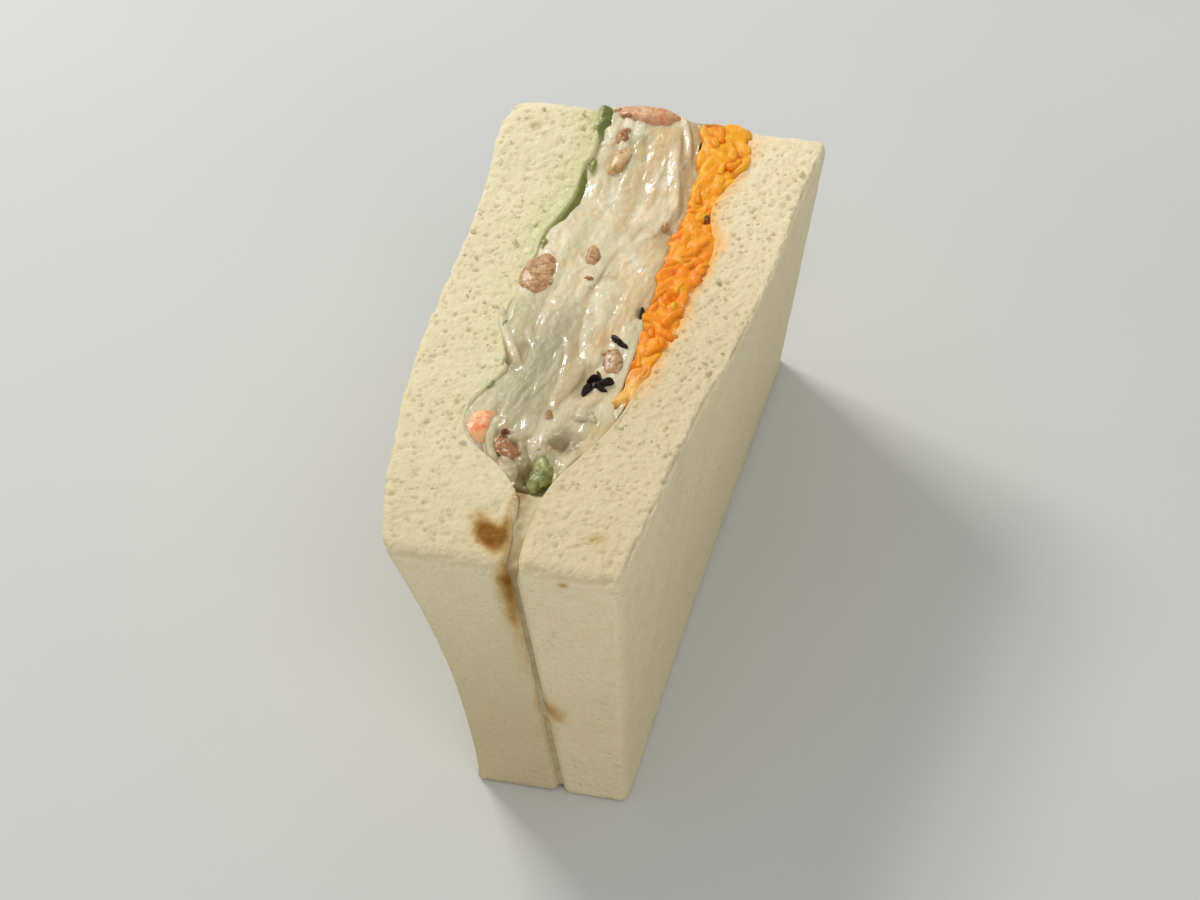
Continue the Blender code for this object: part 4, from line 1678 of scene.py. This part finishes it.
@dataclass
class Seam(Part):
    """Dressing that fills the narrow seam in front of the filling, dried brown at its rims, with painted
    shadow along the left rim and in the gap by the filling.
    """

    finish: DressingFinish
    name: str = "seam_dressing"
    nodes: Names = ()
    ends: Pair = (-46.5, -29.5)
    foot: float = 0.5
    sink: float = 1.2
    soak: float = 0.4
    counts: Counts = (12, 90, 120)
    amber_and_shadow: tuple[Spot, ...] = (
        # The first two spots paint shadow along the left rim and in the gap by the filling; the others are
        # dried spots.
        Spot((-0.6, -36, 46), (0.7, 5, 3), 0.7),
        Spot((-1.4, -31.2, 45), (1.4, 1.8, 3), 0.9),
        Spot((0.8, -43.5, 45.5), (1.6, 3, 3), 0.7),
        Spot((1, -47, 40), (1.6, 2, 6), 0.75),
        Spot((2.4, -47, 30), (1.6, 2, 7), 0.3),
    )

    @property
    def skin(self) -> Skin:
        """The dressing's surface, which sinks towards the filling."""
        layer = Layer(self.counts, 0.0, POCKET.left_inner, POCKET.right_inner, self.ends)
        y = layer.y
        top = POCKET.top(1.0, y) - self.sink
        layer.stand(self.foot, top - 0.6 * smooth_step(-36.0, -32.0, y) - smooth_step(-32.8, -30.8, y))
        radii = joined(0.1 * layer.thickness, 0.5, 0.4)
        out = layer.round_off(radii * (1, 1, 0), radii, 0.1)
        left = layer.left(layer.y, layer.z) - self.soak
        right = layer.right(layer.y, layer.z) + self.soak
        points = joined(mix(left, right, np.clip(layer.across, 0, 1)), layer.y, layer.z)
        points[:, 2] += 0.25 * soft_noise(points, (1.2, 2.2, 9.0), 61) * np.clip(out[:, 2], 0, 1)
        points[:, 1] += 0.15 * (1 + soft_noise(points, (9.0, 9.0, 2.0), 62)) * np.clip(-out[:, 1], 0, 1)
        amber_and_shadow = np.clip(sum(spot.at(points) for spot in self.amber_and_shadow), 0, 1)
        return Skin(points, layer.faces, {"amber_and_shadow": amber_and_shadow})


@dataclass
class Lettuce(Part):
    """The leaf along the left slice, a rounded fold that is palest where it lies on the bread.

    Towards its back end, over the stretch at_back, it stands freer of the bread, frilled and darker.
    """

    finish: LeafFinish
    name: str = "lettuce_leaf"
    nodes: Names = ("lettuce",)
    counts: Counts = (14, 300, 70)
    crowding: float = 0.4
    crest: float = 0.12
    crest_spacing: float = 3.6
    front_radius: float = 0.8
    back_radius: float = 2.4
    inner_share: float = 0.58
    rib: float = 0.12
    frill: float = 0.4
    tuck: float = 0.55
    at_back: Pair = (42.0, 45.0)
    inside_green: float = 0.6
    rise_rows: Rows = (
        (-14, -0.9), (10, -0.9), (15, -0.55), (19, -0.2), (24, -0.05), (30, 0.05), (35, 0), (38, -1.1),
        (41, -1.1), (43.5, -0.1), (46, 0.15), (49.5, 0),
    )
    dark_rows: Rows = (
        (-14, 0.5), (6, 0.5), (14, 0.5), (19, 0.7), (24, 0.95), (29, 1.05), (34, 0.9),
        (38, 0.4), (41, 0.6), (43.5, 1.1), (49.5, 1.15),
    )
    lean_rows: Rows = (
        (-14, 0), (0, 0), (15, 0), (22, 0.1), (30, 0.2), (36, 0.3), (42, 0.9), (45, 1.7), (49.5, 1.7),
    )
    pale_rows: Rows = (
        (-14, 0.2), (6, 0.2), (14, 0.05), (19, 0.08), (24, 0.15), (32, 0.2), (38, 0.3), (43, 0.5),
        (49.5, 0.55),
    )

    @property
    def layer(self) -> tuple[Layer, Array]:
        """The leaf before it is ribbed, and the directions out of it."""
        ends = POCKET.lettuce_front, POCKET.filling_back
        layer = Layer(self.counts, self.crowding, POCKET.lettuce_outer, POCKET.lettuce_inner, ends)
        y = layer.y
        top = POCKET.top(POCKET.edges[1](y), y) - POCKET.lettuce_sink + curve_through(self.rise_rows)(y)
        layer.stand(POCKET.lettuce_foot, top + self.crest * soft_noise(on_line(y), self.crest_spacing, 5))
        free = smooth_step(*self.at_back, y)
        outer = mix(0.03, 0.4, free) * layer.thickness
        rim = mix(0.35, 1.3, smooth_step(13.0, 22.0, y)) + 0.5 * free
        low = joined(outer, self.front_radius, 0)
        high = joined(self.inner_share * layer.thickness, self.back_radius, rim)
        return layer, layer.round_off(low, high, 0.2)

    @property
    def skin(self) -> Skin:
        """The leaf: level with the bread on its left, rounded down on its right, ribbed down its sides."""
        layer, out = self.layer
        y, z, across = layer.y, layer.z, np.clip(layer.across, 0, 1)
        x = mix(layer.left(y, z), layer.right(y, z), across)
        below = POCKET.top(x, y) - z
        near_top = smooth_step(3.0, 1.0, below)
        x = x - (GAP + self.tuck * near_top) * (1 - across) + curve_through(self.lean_rows)(y) * near_top
        points = joined(x, y, z)
        ribs = soft_noise(points * (0, 1, 0.15), 1.4, 12) * self.rib
        ribs = ribs + self.frill * rough_noise(points @ SKEW, 1.9, 13, 2) * smooth_step(40.5, 44.0, y)
        points = points + out * (ribs * (1 - 0.5 * np.abs(out[:, 0])))[:, None]
        dark, pale = curve_through(self.dark_rows)(y), curve_through(self.pale_rows)(y)
        depth = smooth_step(3.0, 10.0, POCKET.top(x, y) - z)
        edge = 0.3 - 0.15 * smooth_step(41.0, 44.0, y)
        tint = mix(pale, dark, smooth_step(edge, edge + 0.45, across))
        return Skin(points, layer.faces, {"tint": mix(tint, self.inside_green, 0.5 * depth)})


@dataclass
class CarrotShreds(Part):
    """Loose shreds on the carrot's cut top, kept within its width and below its highest level."""

    finish: CarrotFinish
    name: str = "carrot_shreds"
    nodes: Names = ()
    count: int = 22
    along: Pair = (-8.0, 47.5)
    across: Pair = (0.1, 1.02)
    sink: Pair = (0.2, 0.55)
    lengths: Pair = (1.8, 4.2)
    widths: Pair = (1.0, 1.6)
    depths: Pair = (0.9, 1.3)
    arches: Pair = (-0.2, 0.5)
    turn: float = 1.2
    tilt: float = 0.1
    bow: float = 0.3
    roll: float = 0.8
    twist: float = 0.7
    rise: float = 0.7
    softness: float = 0.6
    margin: float = -0.5
    seed: int = 5
    left: Face = POCKET.carrot_inner
    right: Face = POCKET.right_inner

    @property
    def drawn(self) -> Ribbons:
        """The shreds, drawn along the cut face: each has a middle and reaches half a length to both sides."""
        draw = np.random.default_rng(self.seed)

        def spread(low: float, high: float) -> Array:
            """One number for each shred."""
            return draw.uniform(low, high, self.count)

        y = mix(*self.along, (np.arange(self.count) + spread(0, 1)) / self.count)
        top = POCKET.top(0.0, y)
        x = mix(self.left(y, top), self.right(y, top), spread(*self.across))
        half = spread(*self.lengths) / 2
        turn = spread(-self.turn, self.turn)
        tilt = spread(-self.tilt, self.tilt)
        z = top - spread(*self.sink)
        reach = joined(np.sin(turn) * np.cos(tilt), np.cos(turn) * np.cos(tilt), np.sin(tilt))
        middle = joined(x, y, z)
        return Ribbons(
            start=middle - reach * half[:, None],
            end=middle + reach * half[:, None],
            width=spread(*self.widths),
            depth=spread(*self.depths),
            tint=spread(0.0, 1.0),
            bow=spread(-self.bow, self.bow),
            arch=spread(*self.arches),
            roll=spread(-self.roll, self.roll),
            twist=spread(-self.twist, self.twist),
            wobble=0.2, roughness=0.16, rings=14, sides=9, seed=70,
        )

    def keep(self, points: Array) -> Array:
        """Keeps points between the carrot's faces and below its highest level.

        Along X they are pressed to middle + room tanh((x - middle) / room), and those that stand near the
        highest level, or above it, are lowered by the same curve.

        Args:
            points: The shreds' points.

        Returns:
            The points at their new places.
        """
        x, y, z = points.T
        low, high = self.left(y, z), self.right(y, z)
        middle = (low + high) / 2
        room = np.maximum((high - low) / 2 - self.margin, 0.2)
        x = middle + room * np.tanh((x - middle) / room)
        ceiling = POCKET.top(x, y) + self.rise
        above = (z - ceiling) / self.softness + 1
        pressed = np.where(above > 0, np.tanh(above) - 1, above - 1)
        return joined(x, np.clip(y, POCKET.front, POCKET.back), ceiling + self.softness * pressed)

    @property
    def skin(self) -> Skin:
        """The shreds' surfaces."""
        return self.drawn.skin(self.keep)


@dataclass
class Nugget(Part):
    """A torn piece in the cut face: a flat-topped puck with a dented outline and a rough surface.

    Its radius r is 1 / (h^t + |z|^t)^(1/t), with h the p-norm of the direction's level part, p the squareness
    and t the flatness of its top, whose rim is bent down by crown (r h)^4. The dents scale its outline, and
    the grain, in millimetres, moves its surface outwards.
    """

    name: str
    finish: Finish
    middle: Pair
    size: Point
    turn: float
    rise: float
    seed: int
    nodes: Names = ()
    squareness: float = 2.3
    flatness: float = 5.0
    crown: float = 0.5
    dent: float = 0.34
    grain: float = 0.13
    grain_spacing: float = 1.7
    tint: float = 0.5
    tint_spread: float = 0.5
    rings: int = 60
    sides: int = 64

    @property
    def skin(self) -> Skin:
        """The piece's surface, leaning with the pocket and clear of the slices."""
        ball = Ball(self.rings, self.sides)
        p, t = self.squareness, self.flatness
        level = (np.abs(ball.points[:, :2]) ** p).sum(axis=-1) ** (1 / p)
        radius = 1 / (level**t + np.abs(ball.points[:, 2]) ** t) ** (1 / t)
        offset = np.array([self.seed * 1.7, self.seed * 3.1, 0.0])
        dents = self.dent * rough_noise(ball.points @ SKEW * 1.5 + offset, 1.0, self.seed, 2)
        points = ball.points * radius[:, None] * np.array(self.size) / 2
        points[:, :2] *= 1 + dents[:, None]
        points[:, 2] -= self.crown * (level * radius) ** 4 * smooth_step(0.0, 0.5, ball.points[:, 2] * radius)
        grain = rough_noise(points @ SKEW + offset, self.grain_spacing, self.seed + 3)
        points = points + unit(points) * (self.grain * grain)[:, None]
        angle = math.radians(self.turn)
        x = points[:, 0] * math.cos(angle) - points[:, 1] * math.sin(angle) + self.middle[0]
        y = points[:, 0] * math.sin(angle) + points[:, 1] * math.cos(angle) + self.middle[1]
        z = points[:, 2] + POCKET.top(*self.middle) + self.rise - self.size[2] / 2
        y = np.clip(y, POCKET.front, POCKET.back)
        tint = np.clip(self.tint + self.tint_spread * grain, 0, 1)
        return Skin(joined(POCKET.inside(x, y, z), y, z), ball.faces, {"tint": tint})


@dataclass
class Sliver(Part):
    """A thin standing piece in the cut face: a flat ribbon on edge with a wavy outline."""

    name: str
    finish: Finish
    start: Pair
    end: Pair
    width: float
    depth: float
    rise: float
    seed: int
    nodes: Names = ()
    wobble: float = 0.25
    tint: float = 0.7
    twist: float = 0.2
    arch: float = 0.2

    def lean(self, points: Array) -> Array:
        """Moves points to their place in the pocket."""
        x, y, z = points.T
        return joined(POCKET.inside(x, y, z), y, z)

    @property
    def skin(self) -> Skin:
        """The piece's surface, leaning with the pocket."""
        x, y = np.mean([self.start, self.end], axis=0)
        z = float(POCKET.top(x, y)) + self.rise - self.depth / 2
        one = np.ones(1)
        ribbon = Ribbons(
            start=np.array([[*self.start, z]]), end=np.array([[*self.end, z]]),
            width=self.width * one, depth=self.depth * one, tint=self.tint * one,
            bow=0 * one, arch=self.arch * one, roll=0 * one, twist=self.twist * one,
            tip_share=0.5, bluntness=4.0, wobble=self.wobble, wobble_spacing=1.8,
            roughness=0.16, roughness_spacing=1.1, rings=36, sides=28, seed=self.seed,
        )
        return ribbon.skin(self.lean)


@dataclass
class Tuft(Part):
    """A star of short arms round a knot, standing in the cut face.

    Its arms are rows of the x and y where they end, their width and their rise.
    """

    name: str
    finish: Finish
    nodes: Names
    knot: Pair
    knot_size: Pair
    arms: Rows
    depth: float = 5.5
    rise: float = 0.5

    @property
    def skin(self) -> Skin:
        """The surfaces of the knot and of one sliver for each arm, merged."""
        skins = [Nugget(
            self.name, self.finish, self.knot, (*self.knot_size, self.depth), turn=25.0, rise=self.rise,
            seed=6, squareness=2.2, flatness=2.5, dent=0.6,
        ).skin]
        for number, (x, y, width, rise) in enumerate(self.arms):
            skins.append(Sliver(
                self.name, self.finish, self.knot, (x, y), width, self.depth, rise, seed=90 + number,
                wobble=0.35, tint=0.5, twist=0.5,
            ).skin)
        return merged(skins)


@dataclass
class Bits(Part):
    """Small bits of one kind that lie in the cut face, as rows of x, y, the three half sizes and the rise."""

    name: str
    finish: Finish
    seed: int
    rows: Rows
    nodes: Names = ()
    tint: float = 0.8

    @property
    def skin(self) -> Skin:
        """The bits' surfaces."""
        x, y, *sizes, rise = np.array(self.rows).T
        sizes = joined(*sizes)
        middle = joined(x, y, POCKET.top(x, y) + rise - sizes[:, 2])
        skin = balls(middle, sizes, roughness=0.5, seed=self.seed, rings=16, sides=24)
        skin.attributes["tint"] = np.full(len(skin.points), self.tint)
        return skin


class Meat(Enum):
    """The kinds of cut meat and the like in the filling, from their lean to their dark colour."""

    PINK = MeatFinish("Pink meat", srgb(196, 152, 102), srgb(154, 104, 62))
    SALMON = MeatFinish("Salmon meat", srgb(250, 186, 134), srgb(240, 132, 78))
    TAN = MeatFinish("Tan meat", srgb(216, 180, 126), srgb(172, 130, 78))
    PALE = MeatFinish("Pale meat", srgb(186, 148, 104), srgb(150, 110, 74))
    RED = MeatFinish("Red meat", srgb(214, 168, 128), srgb(212, 132, 88))
    MAROON = MeatFinish("Maroon meat", srgb(172, 118, 76), srgb(116, 70, 38))


@dataclass
class Filling:
    """Everything between the slices."""

    cabbage: CabbageFinish = CabbageFinish("Dressed cabbage")
    carrot: CarrotFinish = CarrotFinish("Carrot")
    leaf: LeafFinish = LeafFinish("Lettuce")
    wood_ear: WoodEarFinish = WoodEarFinish("Wood ear")
    dressing: DressingFinish = DressingFinish("Dressing")

    def build(self) -> None:
        """Makes the layers, the loose shreds and the pieces that lie in them."""
        layers = Lettuce(self.leaf), self.cabbage_bed, self.carrot_bed, Seam(self.dressing)
        for part in (*layers, CarrotShreds(self.carrot), *self.nuggets, *self.slivers, *self.bits):
            part.build()

    @property
    def cabbage_bed(self) -> Bed:
        """The cabbage with the strips that stand out in it, on drawn ones."""
        faces = POCKET.cabbage_left, POCKET.cabbage_right
        edges, ends = rims(*faces)
        strips = np.array([
            (-0.2, 3.5, 2, 9.5, -0.02, 0.3, 0.24, 0.05, 1, 0.3, 0),
            (-6.5, -8, 1.8, 9, 0.16, 0.3, 0.2, 0.08, 0, 1, 0),
            (4.6, 10.5, 1.7, 11, 0.03, 0, 0.2, -0.05, 0.4, 0, 0.5),
            (-0.2, -9, 1.3, 5.5, 0.14, 0, 0.14, 0, 0, 0.2, 0.3),
            (-6.6, -18, 1.7, 3.6, 0.3, 0, 0.16, 0.1, 0, 0.1, 0.4),
            (-3.2, -8, 0.55, 7, 0.2, 0, 0.34, 0, 1, 0.1, 0),
            (3.2, 36, 0.9, 6.5, -0.16, 0.2, 0.34, 0.1, 1, 0, 0.1),
            (1.5, 28, 1.9, 2.4, 0, 0, 0.3, 0, 0.9, 0, 0.2),
            (-6.4, 4, 1.9, 7.5, 0.05, 0, 0.2, 0.08, 0.8, 0.2, 0.1),
            (-11.6, 2, 1.6, 5.5, 0, 0, 0.2, 0, 0.8, 0.5, 0),
            (-4.2, 25, 2.1, 9, -0.1, 0.4, 0.16, 0.1, 0.9, 0.3, 0),
            (-7, 30, 1.8, 5.5, -0.1, 0.2, 0.14, 0.1, 0.8, 0.35, 0.1),
            (-0.5, 40, 1.6, 6, 0.12, 0.3, 0.16, 0.1, 0.3, 0, 0.6),
            (3, -14, 1.4, 3.6, 0.5, 0, 0.3, 0.1, 0.6, 0, 0.5),
            (-8.4, 42.2, 1.3, 2, -0.1, 0, 0.34, 0, 1, 0, 0),
        ])
        wide = Pads(
            46, -28, 47, half_widths=(1.5, 2.8), half_lengths=(7.0, 15.0), turn=0.12, bow=0.7,
            lift=(-0.3, 0.12), tilt=0.14,
        )
        narrow = Pads(
            36, -28, 48, half_widths=(0.5, 1.1), half_lengths=(2.5, 7.0), turn=0.4, bow=0.6,
            lift=(0.0, 0.36), tilt=0.14,
        )
        hanging = Pads(
            40, 8, 48, half_widths=(0.9, 2.2), half_lengths=(4.0, 10.0), turn=0.25, bow=0.6,
            lift=(-0.25, 0.25), tilt=0.14,
        )
        pads = np.concatenate([strips, wide.drawn(*edges, seed=4), narrow.drawn(*edges, seed=5)])
        return Bed(
            "cabbage_bed", ("cabbage",), self.cabbage, *faces,
            front=POCKET.cabbage_front, foot=POCKET.cabbage_foot, counts=(88, 350, 36), sink=0.25,
            top=Mosaic(*edges, pads), back=Mosaic(*ends, hanging.drawn(*ends, seed=6)),
            overlap=(0.9, 0.3), unevenness=(0.45, 0.2),
            hollows=spots(
                47.5, 9,
                (2.6, -22.3, 2.6, 2.2, 1.2), (-4.9, -24, 3, 2.4, 0.9), (0.5, -30, 3.4, 2.6, 2),
                (-9.3, 42, 0.9, 2.2, 0.9), (6.4, 6.3, 0.6, 1, 0.9),
            ),
        )

    @property
    def carrot_bed(self) -> Bed:
        """The carrot: short thick ends of shreds, cut across, fading towards the front."""
        faces = POCKET.carrot_inner, POCKET.right_inner
        edges, ends = rims(*faces)
        stubs = Pads(
            240, -12.5, 48.5, half_widths=(0.6, 1.25), half_lengths=(0.9, 2.4), turn=1.3, bow=0.2,
            lift=(-0.4, 0.42), tilt=0.3,
        )
        hanging = Pads(
            60, 13, 48, half_widths=(0.6, 1.1), half_lengths=(2.0, 6.0), turn=0.3, bow=0.3,
            lift=(-0.3, 0.3), tilt=0.2,
        )
        pads = stubs.drawn(*edges, seed=12)
        along, tint, beige = pads[:, 1], pads[:, -3], pads[:, -1]
        beige[:] = smooth_step(-3.0, -11.0, along) + 0.15 * beige
        tint[:] = np.clip(0.75 * tint + 0.6 * smooth_step(15.0, 38.0, along) - 0.1, 0, 1)
        shape = {"fall": 0.5, "power": 2.6}
        return Bed(
            "carrot_bed", ("carrot",), self.carrot, *faces,
            front=POCKET.carrot_front - 1.0, foot=POCKET.carrot_foot, counts=(40, 330, 46), sink=0.1,
            top=Mosaic(*edges, pads, **shape), back=Mosaic(*ends, hanging.drawn(*ends, seed=13), **shape),
            overlap=(0.45, 0.65), unevenness=(0.55, 0.6), radii=(0.3, 0.5, 0.4), grain=0.06,
            hollows=spots(
                47.5, 9,
                (10.6, 28.7, 1.1, 1.6, 0.9), (8.8, 3.2, 0.6, 0.9, 0.8), (10.2, 10.5, 0.6, 0.9, 0.8),
                (8.4, 31.5, 0.8, 1.4, 0.5), (9.5, 15, 1.6, 0.6, 0.4),
            ),
        )

    @property
    def nuggets(self) -> tuple[Nugget, ...]:
        """The larger pieces of meat, two folds of cabbage and the leaf's tip."""
        pink, tan, red = Meat.PINK.value, Meat.TAN.value, Meat.RED.value
        salmon, pale = Meat.SALMON.value, Meat.PALE.value
        return (
            Nugget(
                "ham_left_piece", pink, (-10.8, 11.5), (5.9, 10.6, 11.0), turn=10.0, rise=0.22, seed=1,
                nodes=("ham_left",),
            ),
            Nugget(
                "ham_back_piece", red, (-3.9, 47.55), (9.4, 4.0, 6.5), turn=2.0, rise=0.5, seed=2,
                nodes=("ham_back",), dent=0.2,
            ),
            Nugget(
                "ham_tan_piece", tan, (-5.4, 38.6), (3.0, 6.2, 7.0), turn=-4.0, rise=0.3, seed=3,
                nodes=("ham_tan",),
            ),
            Nugget(
                "ham_front_piece", salmon, (-10.6, -21.1), (4.4, 8.6, 9.0), turn=-14.0, rise=0.35, seed=4,
                nodes=("ham_front",),
            ),
            Nugget(
                "ham_right_piece", pale, (5.1, -4.5), (4.0, 6.8, 8.0), turn=12.0, rise=0.2, seed=5,
                nodes=("ham_right",), dent=0.15,
            ),
            Nugget(
                "cabbage_corner", self.cabbage, (8.9, -14.0), (3.0, 5.0, 9.0), turn=-24.0, rise=-0.2, seed=10,
                squareness=2.4, dent=0.2, grain=0.2, grain_spacing=1.5, tint=0.4,
            ),
            Nugget("brown_piece", pink, (-3.9, 17.2), (2.6, 4.6, 6.0), turn=8.0, rise=0.3, seed=9),
            Nugget(
                "cabbage_fold", self.cabbage, (4.2, -16.2), (6.4, 4.8, 9.0), turn=-12.0, rise=0.3, seed=7,
                nodes=("cabbage_rib",), squareness=2.4, flatness=3.0, dent=0.4, grain=0.5, grain_spacing=2.0,
                tint=0.35,
            ),
            Nugget(
                "leaf_tip_piece", self.leaf, (1.5, -28.6), (3.8, 7.6, 8.0), turn=-6.0, rise=-0.1, seed=8,
                nodes=("leaf_tip",), squareness=2.0, flatness=3.5, crown=0.9, dent=0.75, grain=0.2,
                grain_spacing=1.0, tint=0.84, tint_spread=0.2,
            ),
        )

    @property
    def slivers(self) -> tuple[Sliver | Tuft, ...]:
        """The black strips of wood ear and the dark sliver of meat."""
        return (
            Sliver(
                "wood_ear_band", self.wood_ear, (3.2, 1.0), (6.4, -1.8), width=1.1, depth=6.0, rise=0.55,
                seed=81, nodes=("wood_ear_strip",),
            ),
            Sliver(
                "wood_ear_crumb", self.wood_ear, (6.4, 7.2), (6.6, 5.4), width=0.8, depth=4.0, rise=0.4,
                seed=82, nodes=("wood_ear_bit",),
            ),
            Sliver(
                "ham_sliver_piece", Meat.MAROON.value, (-8.6, -21.8), (-2.6, -27.8), width=4.0, depth=8.0,
                rise=0.0, seed=83, nodes=("ham_sliver",),
            ),
            Tuft(
                "wood_ear_tuft", self.wood_ear, ("wood_ear_lump",), knot=(4.1, -9.4), knot_size=(3.0, 2.6),
                arms=(
                    (1.9, -11.4, 1.5, 0.5), (6.5, -9.2, 1.3, 0.7), (3.9, -6.7, 1, 0.4),
                    (5.3, -11.2, 1.2, 0.3), (2.4, -8.6, 1, 0.5),
                ),
            ),
        )

    @property
    def bits(self) -> tuple[Bits, ...]:
        """The small bits of leaf and of brown and dark meat."""
        return (
            Bits("leaf_bits", self.leaf, 14, (
                (-10.7, -7.6, 0.4, 1, 0.3, 0), (-11.6, -12.4, 0.6, 0.8, 0.3, 0),
                (-9.2, 36.6, 0.5, 1.3, 0.4, 0.05), (-12.9, 0.6, 0.3, 1.2, 0.3, 0),
                (-0.5, -23.6, 0.8, 0.9, 1, -1), (-12.2, 18.5, 0.4, 0.9, 0.3, 0),
            )),
            Bits("brown_bits", Meat.PINK.value, 15, (
                (-6.1, 42.6, 1.1, 1.5, 1.4, 0.5), (-8, 47.6, 1.6, 0.9, 1.4, 0.3),
                (3.5, -2.9, 0.7, 0.8, 1, 0.3), (4.6, 26, 0.5, 1, 1, 0.1),
                (-1.2, -16.8, 0.5, 0.8, 1, 0.1),
            )),
            Bits("dark_bits", Meat.MAROON.value, 16, (
                (-3.3, 11.8, 1, 0.35, 0.9, 0.45), (-6.7, 46.4, 0.6, 0.5, 0.9, 0.35),
                (10.6, 28.7, 0.6, 0.7, 1, -0.2), (-6.3, -21.6, 0.7, 0.4, 1, 0),
                (8.8, 3.1, 0.35, 0.5, 1, -0.1),
            )),
        )


# ---- Studio ----


@dataclass(frozen=True)
class Lamp:
    """A square area light that faces the sandwich: place and size in metres, power in watts."""

    name: str
    place: Point
    size: float
    watts: float
    colour: Point

    def build(self, target: Vector) -> None:
        """Adds the light, pointing at the target.

        Args:
            target: The point that it faces.
        """
        light = bpy.data.lights.new(self.name, "AREA")
        light.size = self.size
        light.energy = self.watts
        light.color = self.colour
        lamp = bpy.data.objects.new(self.name, light)
        lamp.location = self.place
        lamp.rotation_euler = (target - Vector(self.place)).to_track_quat("-Z", "Y").to_euler()
        bpy.context.scene.collection.objects.link(lamp)


@dataclass
class Studio:
    """The floor, the lights and the camera, in metres."""

    azimuth: float = 19.63
    elevation: float = 43.9
    distance: float = 0.736
    lean: float = 5.84
    lens: float = 147.0
    sensor: float = 36.0
    clip: Pair = (0.01, 20.0)
    middle: Point = (0.0, 0.0, 24.0)
    floor_radius: float = 3.0
    floor_sides: int = 96
    floor: FloorFinish = FloorFinish("Pale floor")
    sky: Colour = srgb(222, 224, 226)
    sky_strength: float = 0.62
    lamps: tuple[Lamp, ...] = (
        Lamp("Window", (-0.42, 0.38, 0.52), 0.22, 3.4, (1.0, 0.985, 0.96)),
        Lamp("Ceiling", (0.6, -1.0, 1.2), 1.0, 6.5, (1.0, 0.99, 0.975)),
    )

    @property
    def target(self) -> Vector:
        """The middle of the sandwich, where the lights and the camera point."""
        return Vector((np.array(self.middle) + POCKET.shift) * MM)

    def build_floor(self) -> None:
        """A wide disc just below the sandwich."""
        turn = 2 * np.pi * np.arange(self.floor_sides) / self.floor_sides
        rim = joined(np.cos(turn), np.sin(turn), 0) * self.floor_radius
        mesh = bpy.data.meshes.new("floor")
        mesh.from_pydata(rim.tolist(), [], [list(range(self.floor_sides))])
        mesh.materials.append(self.floor.material)
        floor = bpy.data.objects.new("floor", mesh)
        bpy.context.scene.collection.objects.link(floor)

    def build_sky(self) -> None:
        """An even pale sky."""
        world = bpy.data.worlds.new("Studio")
        world.use_nodes = True
        background = world.node_tree.nodes["Background"]
        background.inputs["Color"].default_value = self.sky
        background.inputs["Strength"].default_value = self.sky_strength
        bpy.context.scene.world = world

    def build_camera(self) -> None:
        """A camera at the photo's angle, turned about its axis so that uprights lean a little to the left."""
        azimuth, elevation = math.radians(self.azimuth), math.radians(self.elevation)
        back = Vector((
            math.sin(azimuth) * math.cos(elevation),
            -math.cos(azimuth) * math.cos(elevation),
            math.sin(elevation),
        ))
        camera = bpy.data.cameras.new("Camera")
        camera.lens = self.lens
        camera.sensor_width = self.sensor
        camera.clip_start, camera.clip_end = self.clip
        obj = bpy.data.objects.new("Camera", camera)
        look = (-back).to_track_quat("-Z", "Y").to_matrix().to_4x4()
        turn = Matrix.Rotation(math.radians(-self.lean), 4, "Z")
        obj.matrix_world = Matrix.Translation(self.target + back * self.distance) @ look @ turn
        bpy.context.scene.collection.objects.link(obj)
        bpy.context.scene.camera = obj

    def build(self) -> None:
        """Makes the studio."""
        self.build_floor()
        self.build_sky()
        for lamp in self.lamps:
            lamp.build(self.target)
        self.build_camera()
        settings = bpy.context.scene.view_settings
        settings.view_transform = "Standard"
        settings.look = "None"


def main() -> None:
    """Builds the sandwich and the studio, and notes how far the imported model lies from the design frame and
    the points and faces of each piece.
    """
    logging.basicConfig(level=logging.INFO, format="%(name)s: %(message)s")
    LOG.info("shift from the design frame: %s mm", POCKET.shift)
    Bread().build()
    Crumbs().build()
    Filling().build()
    Studio().build()


if __name__ == "__main__":
    main()
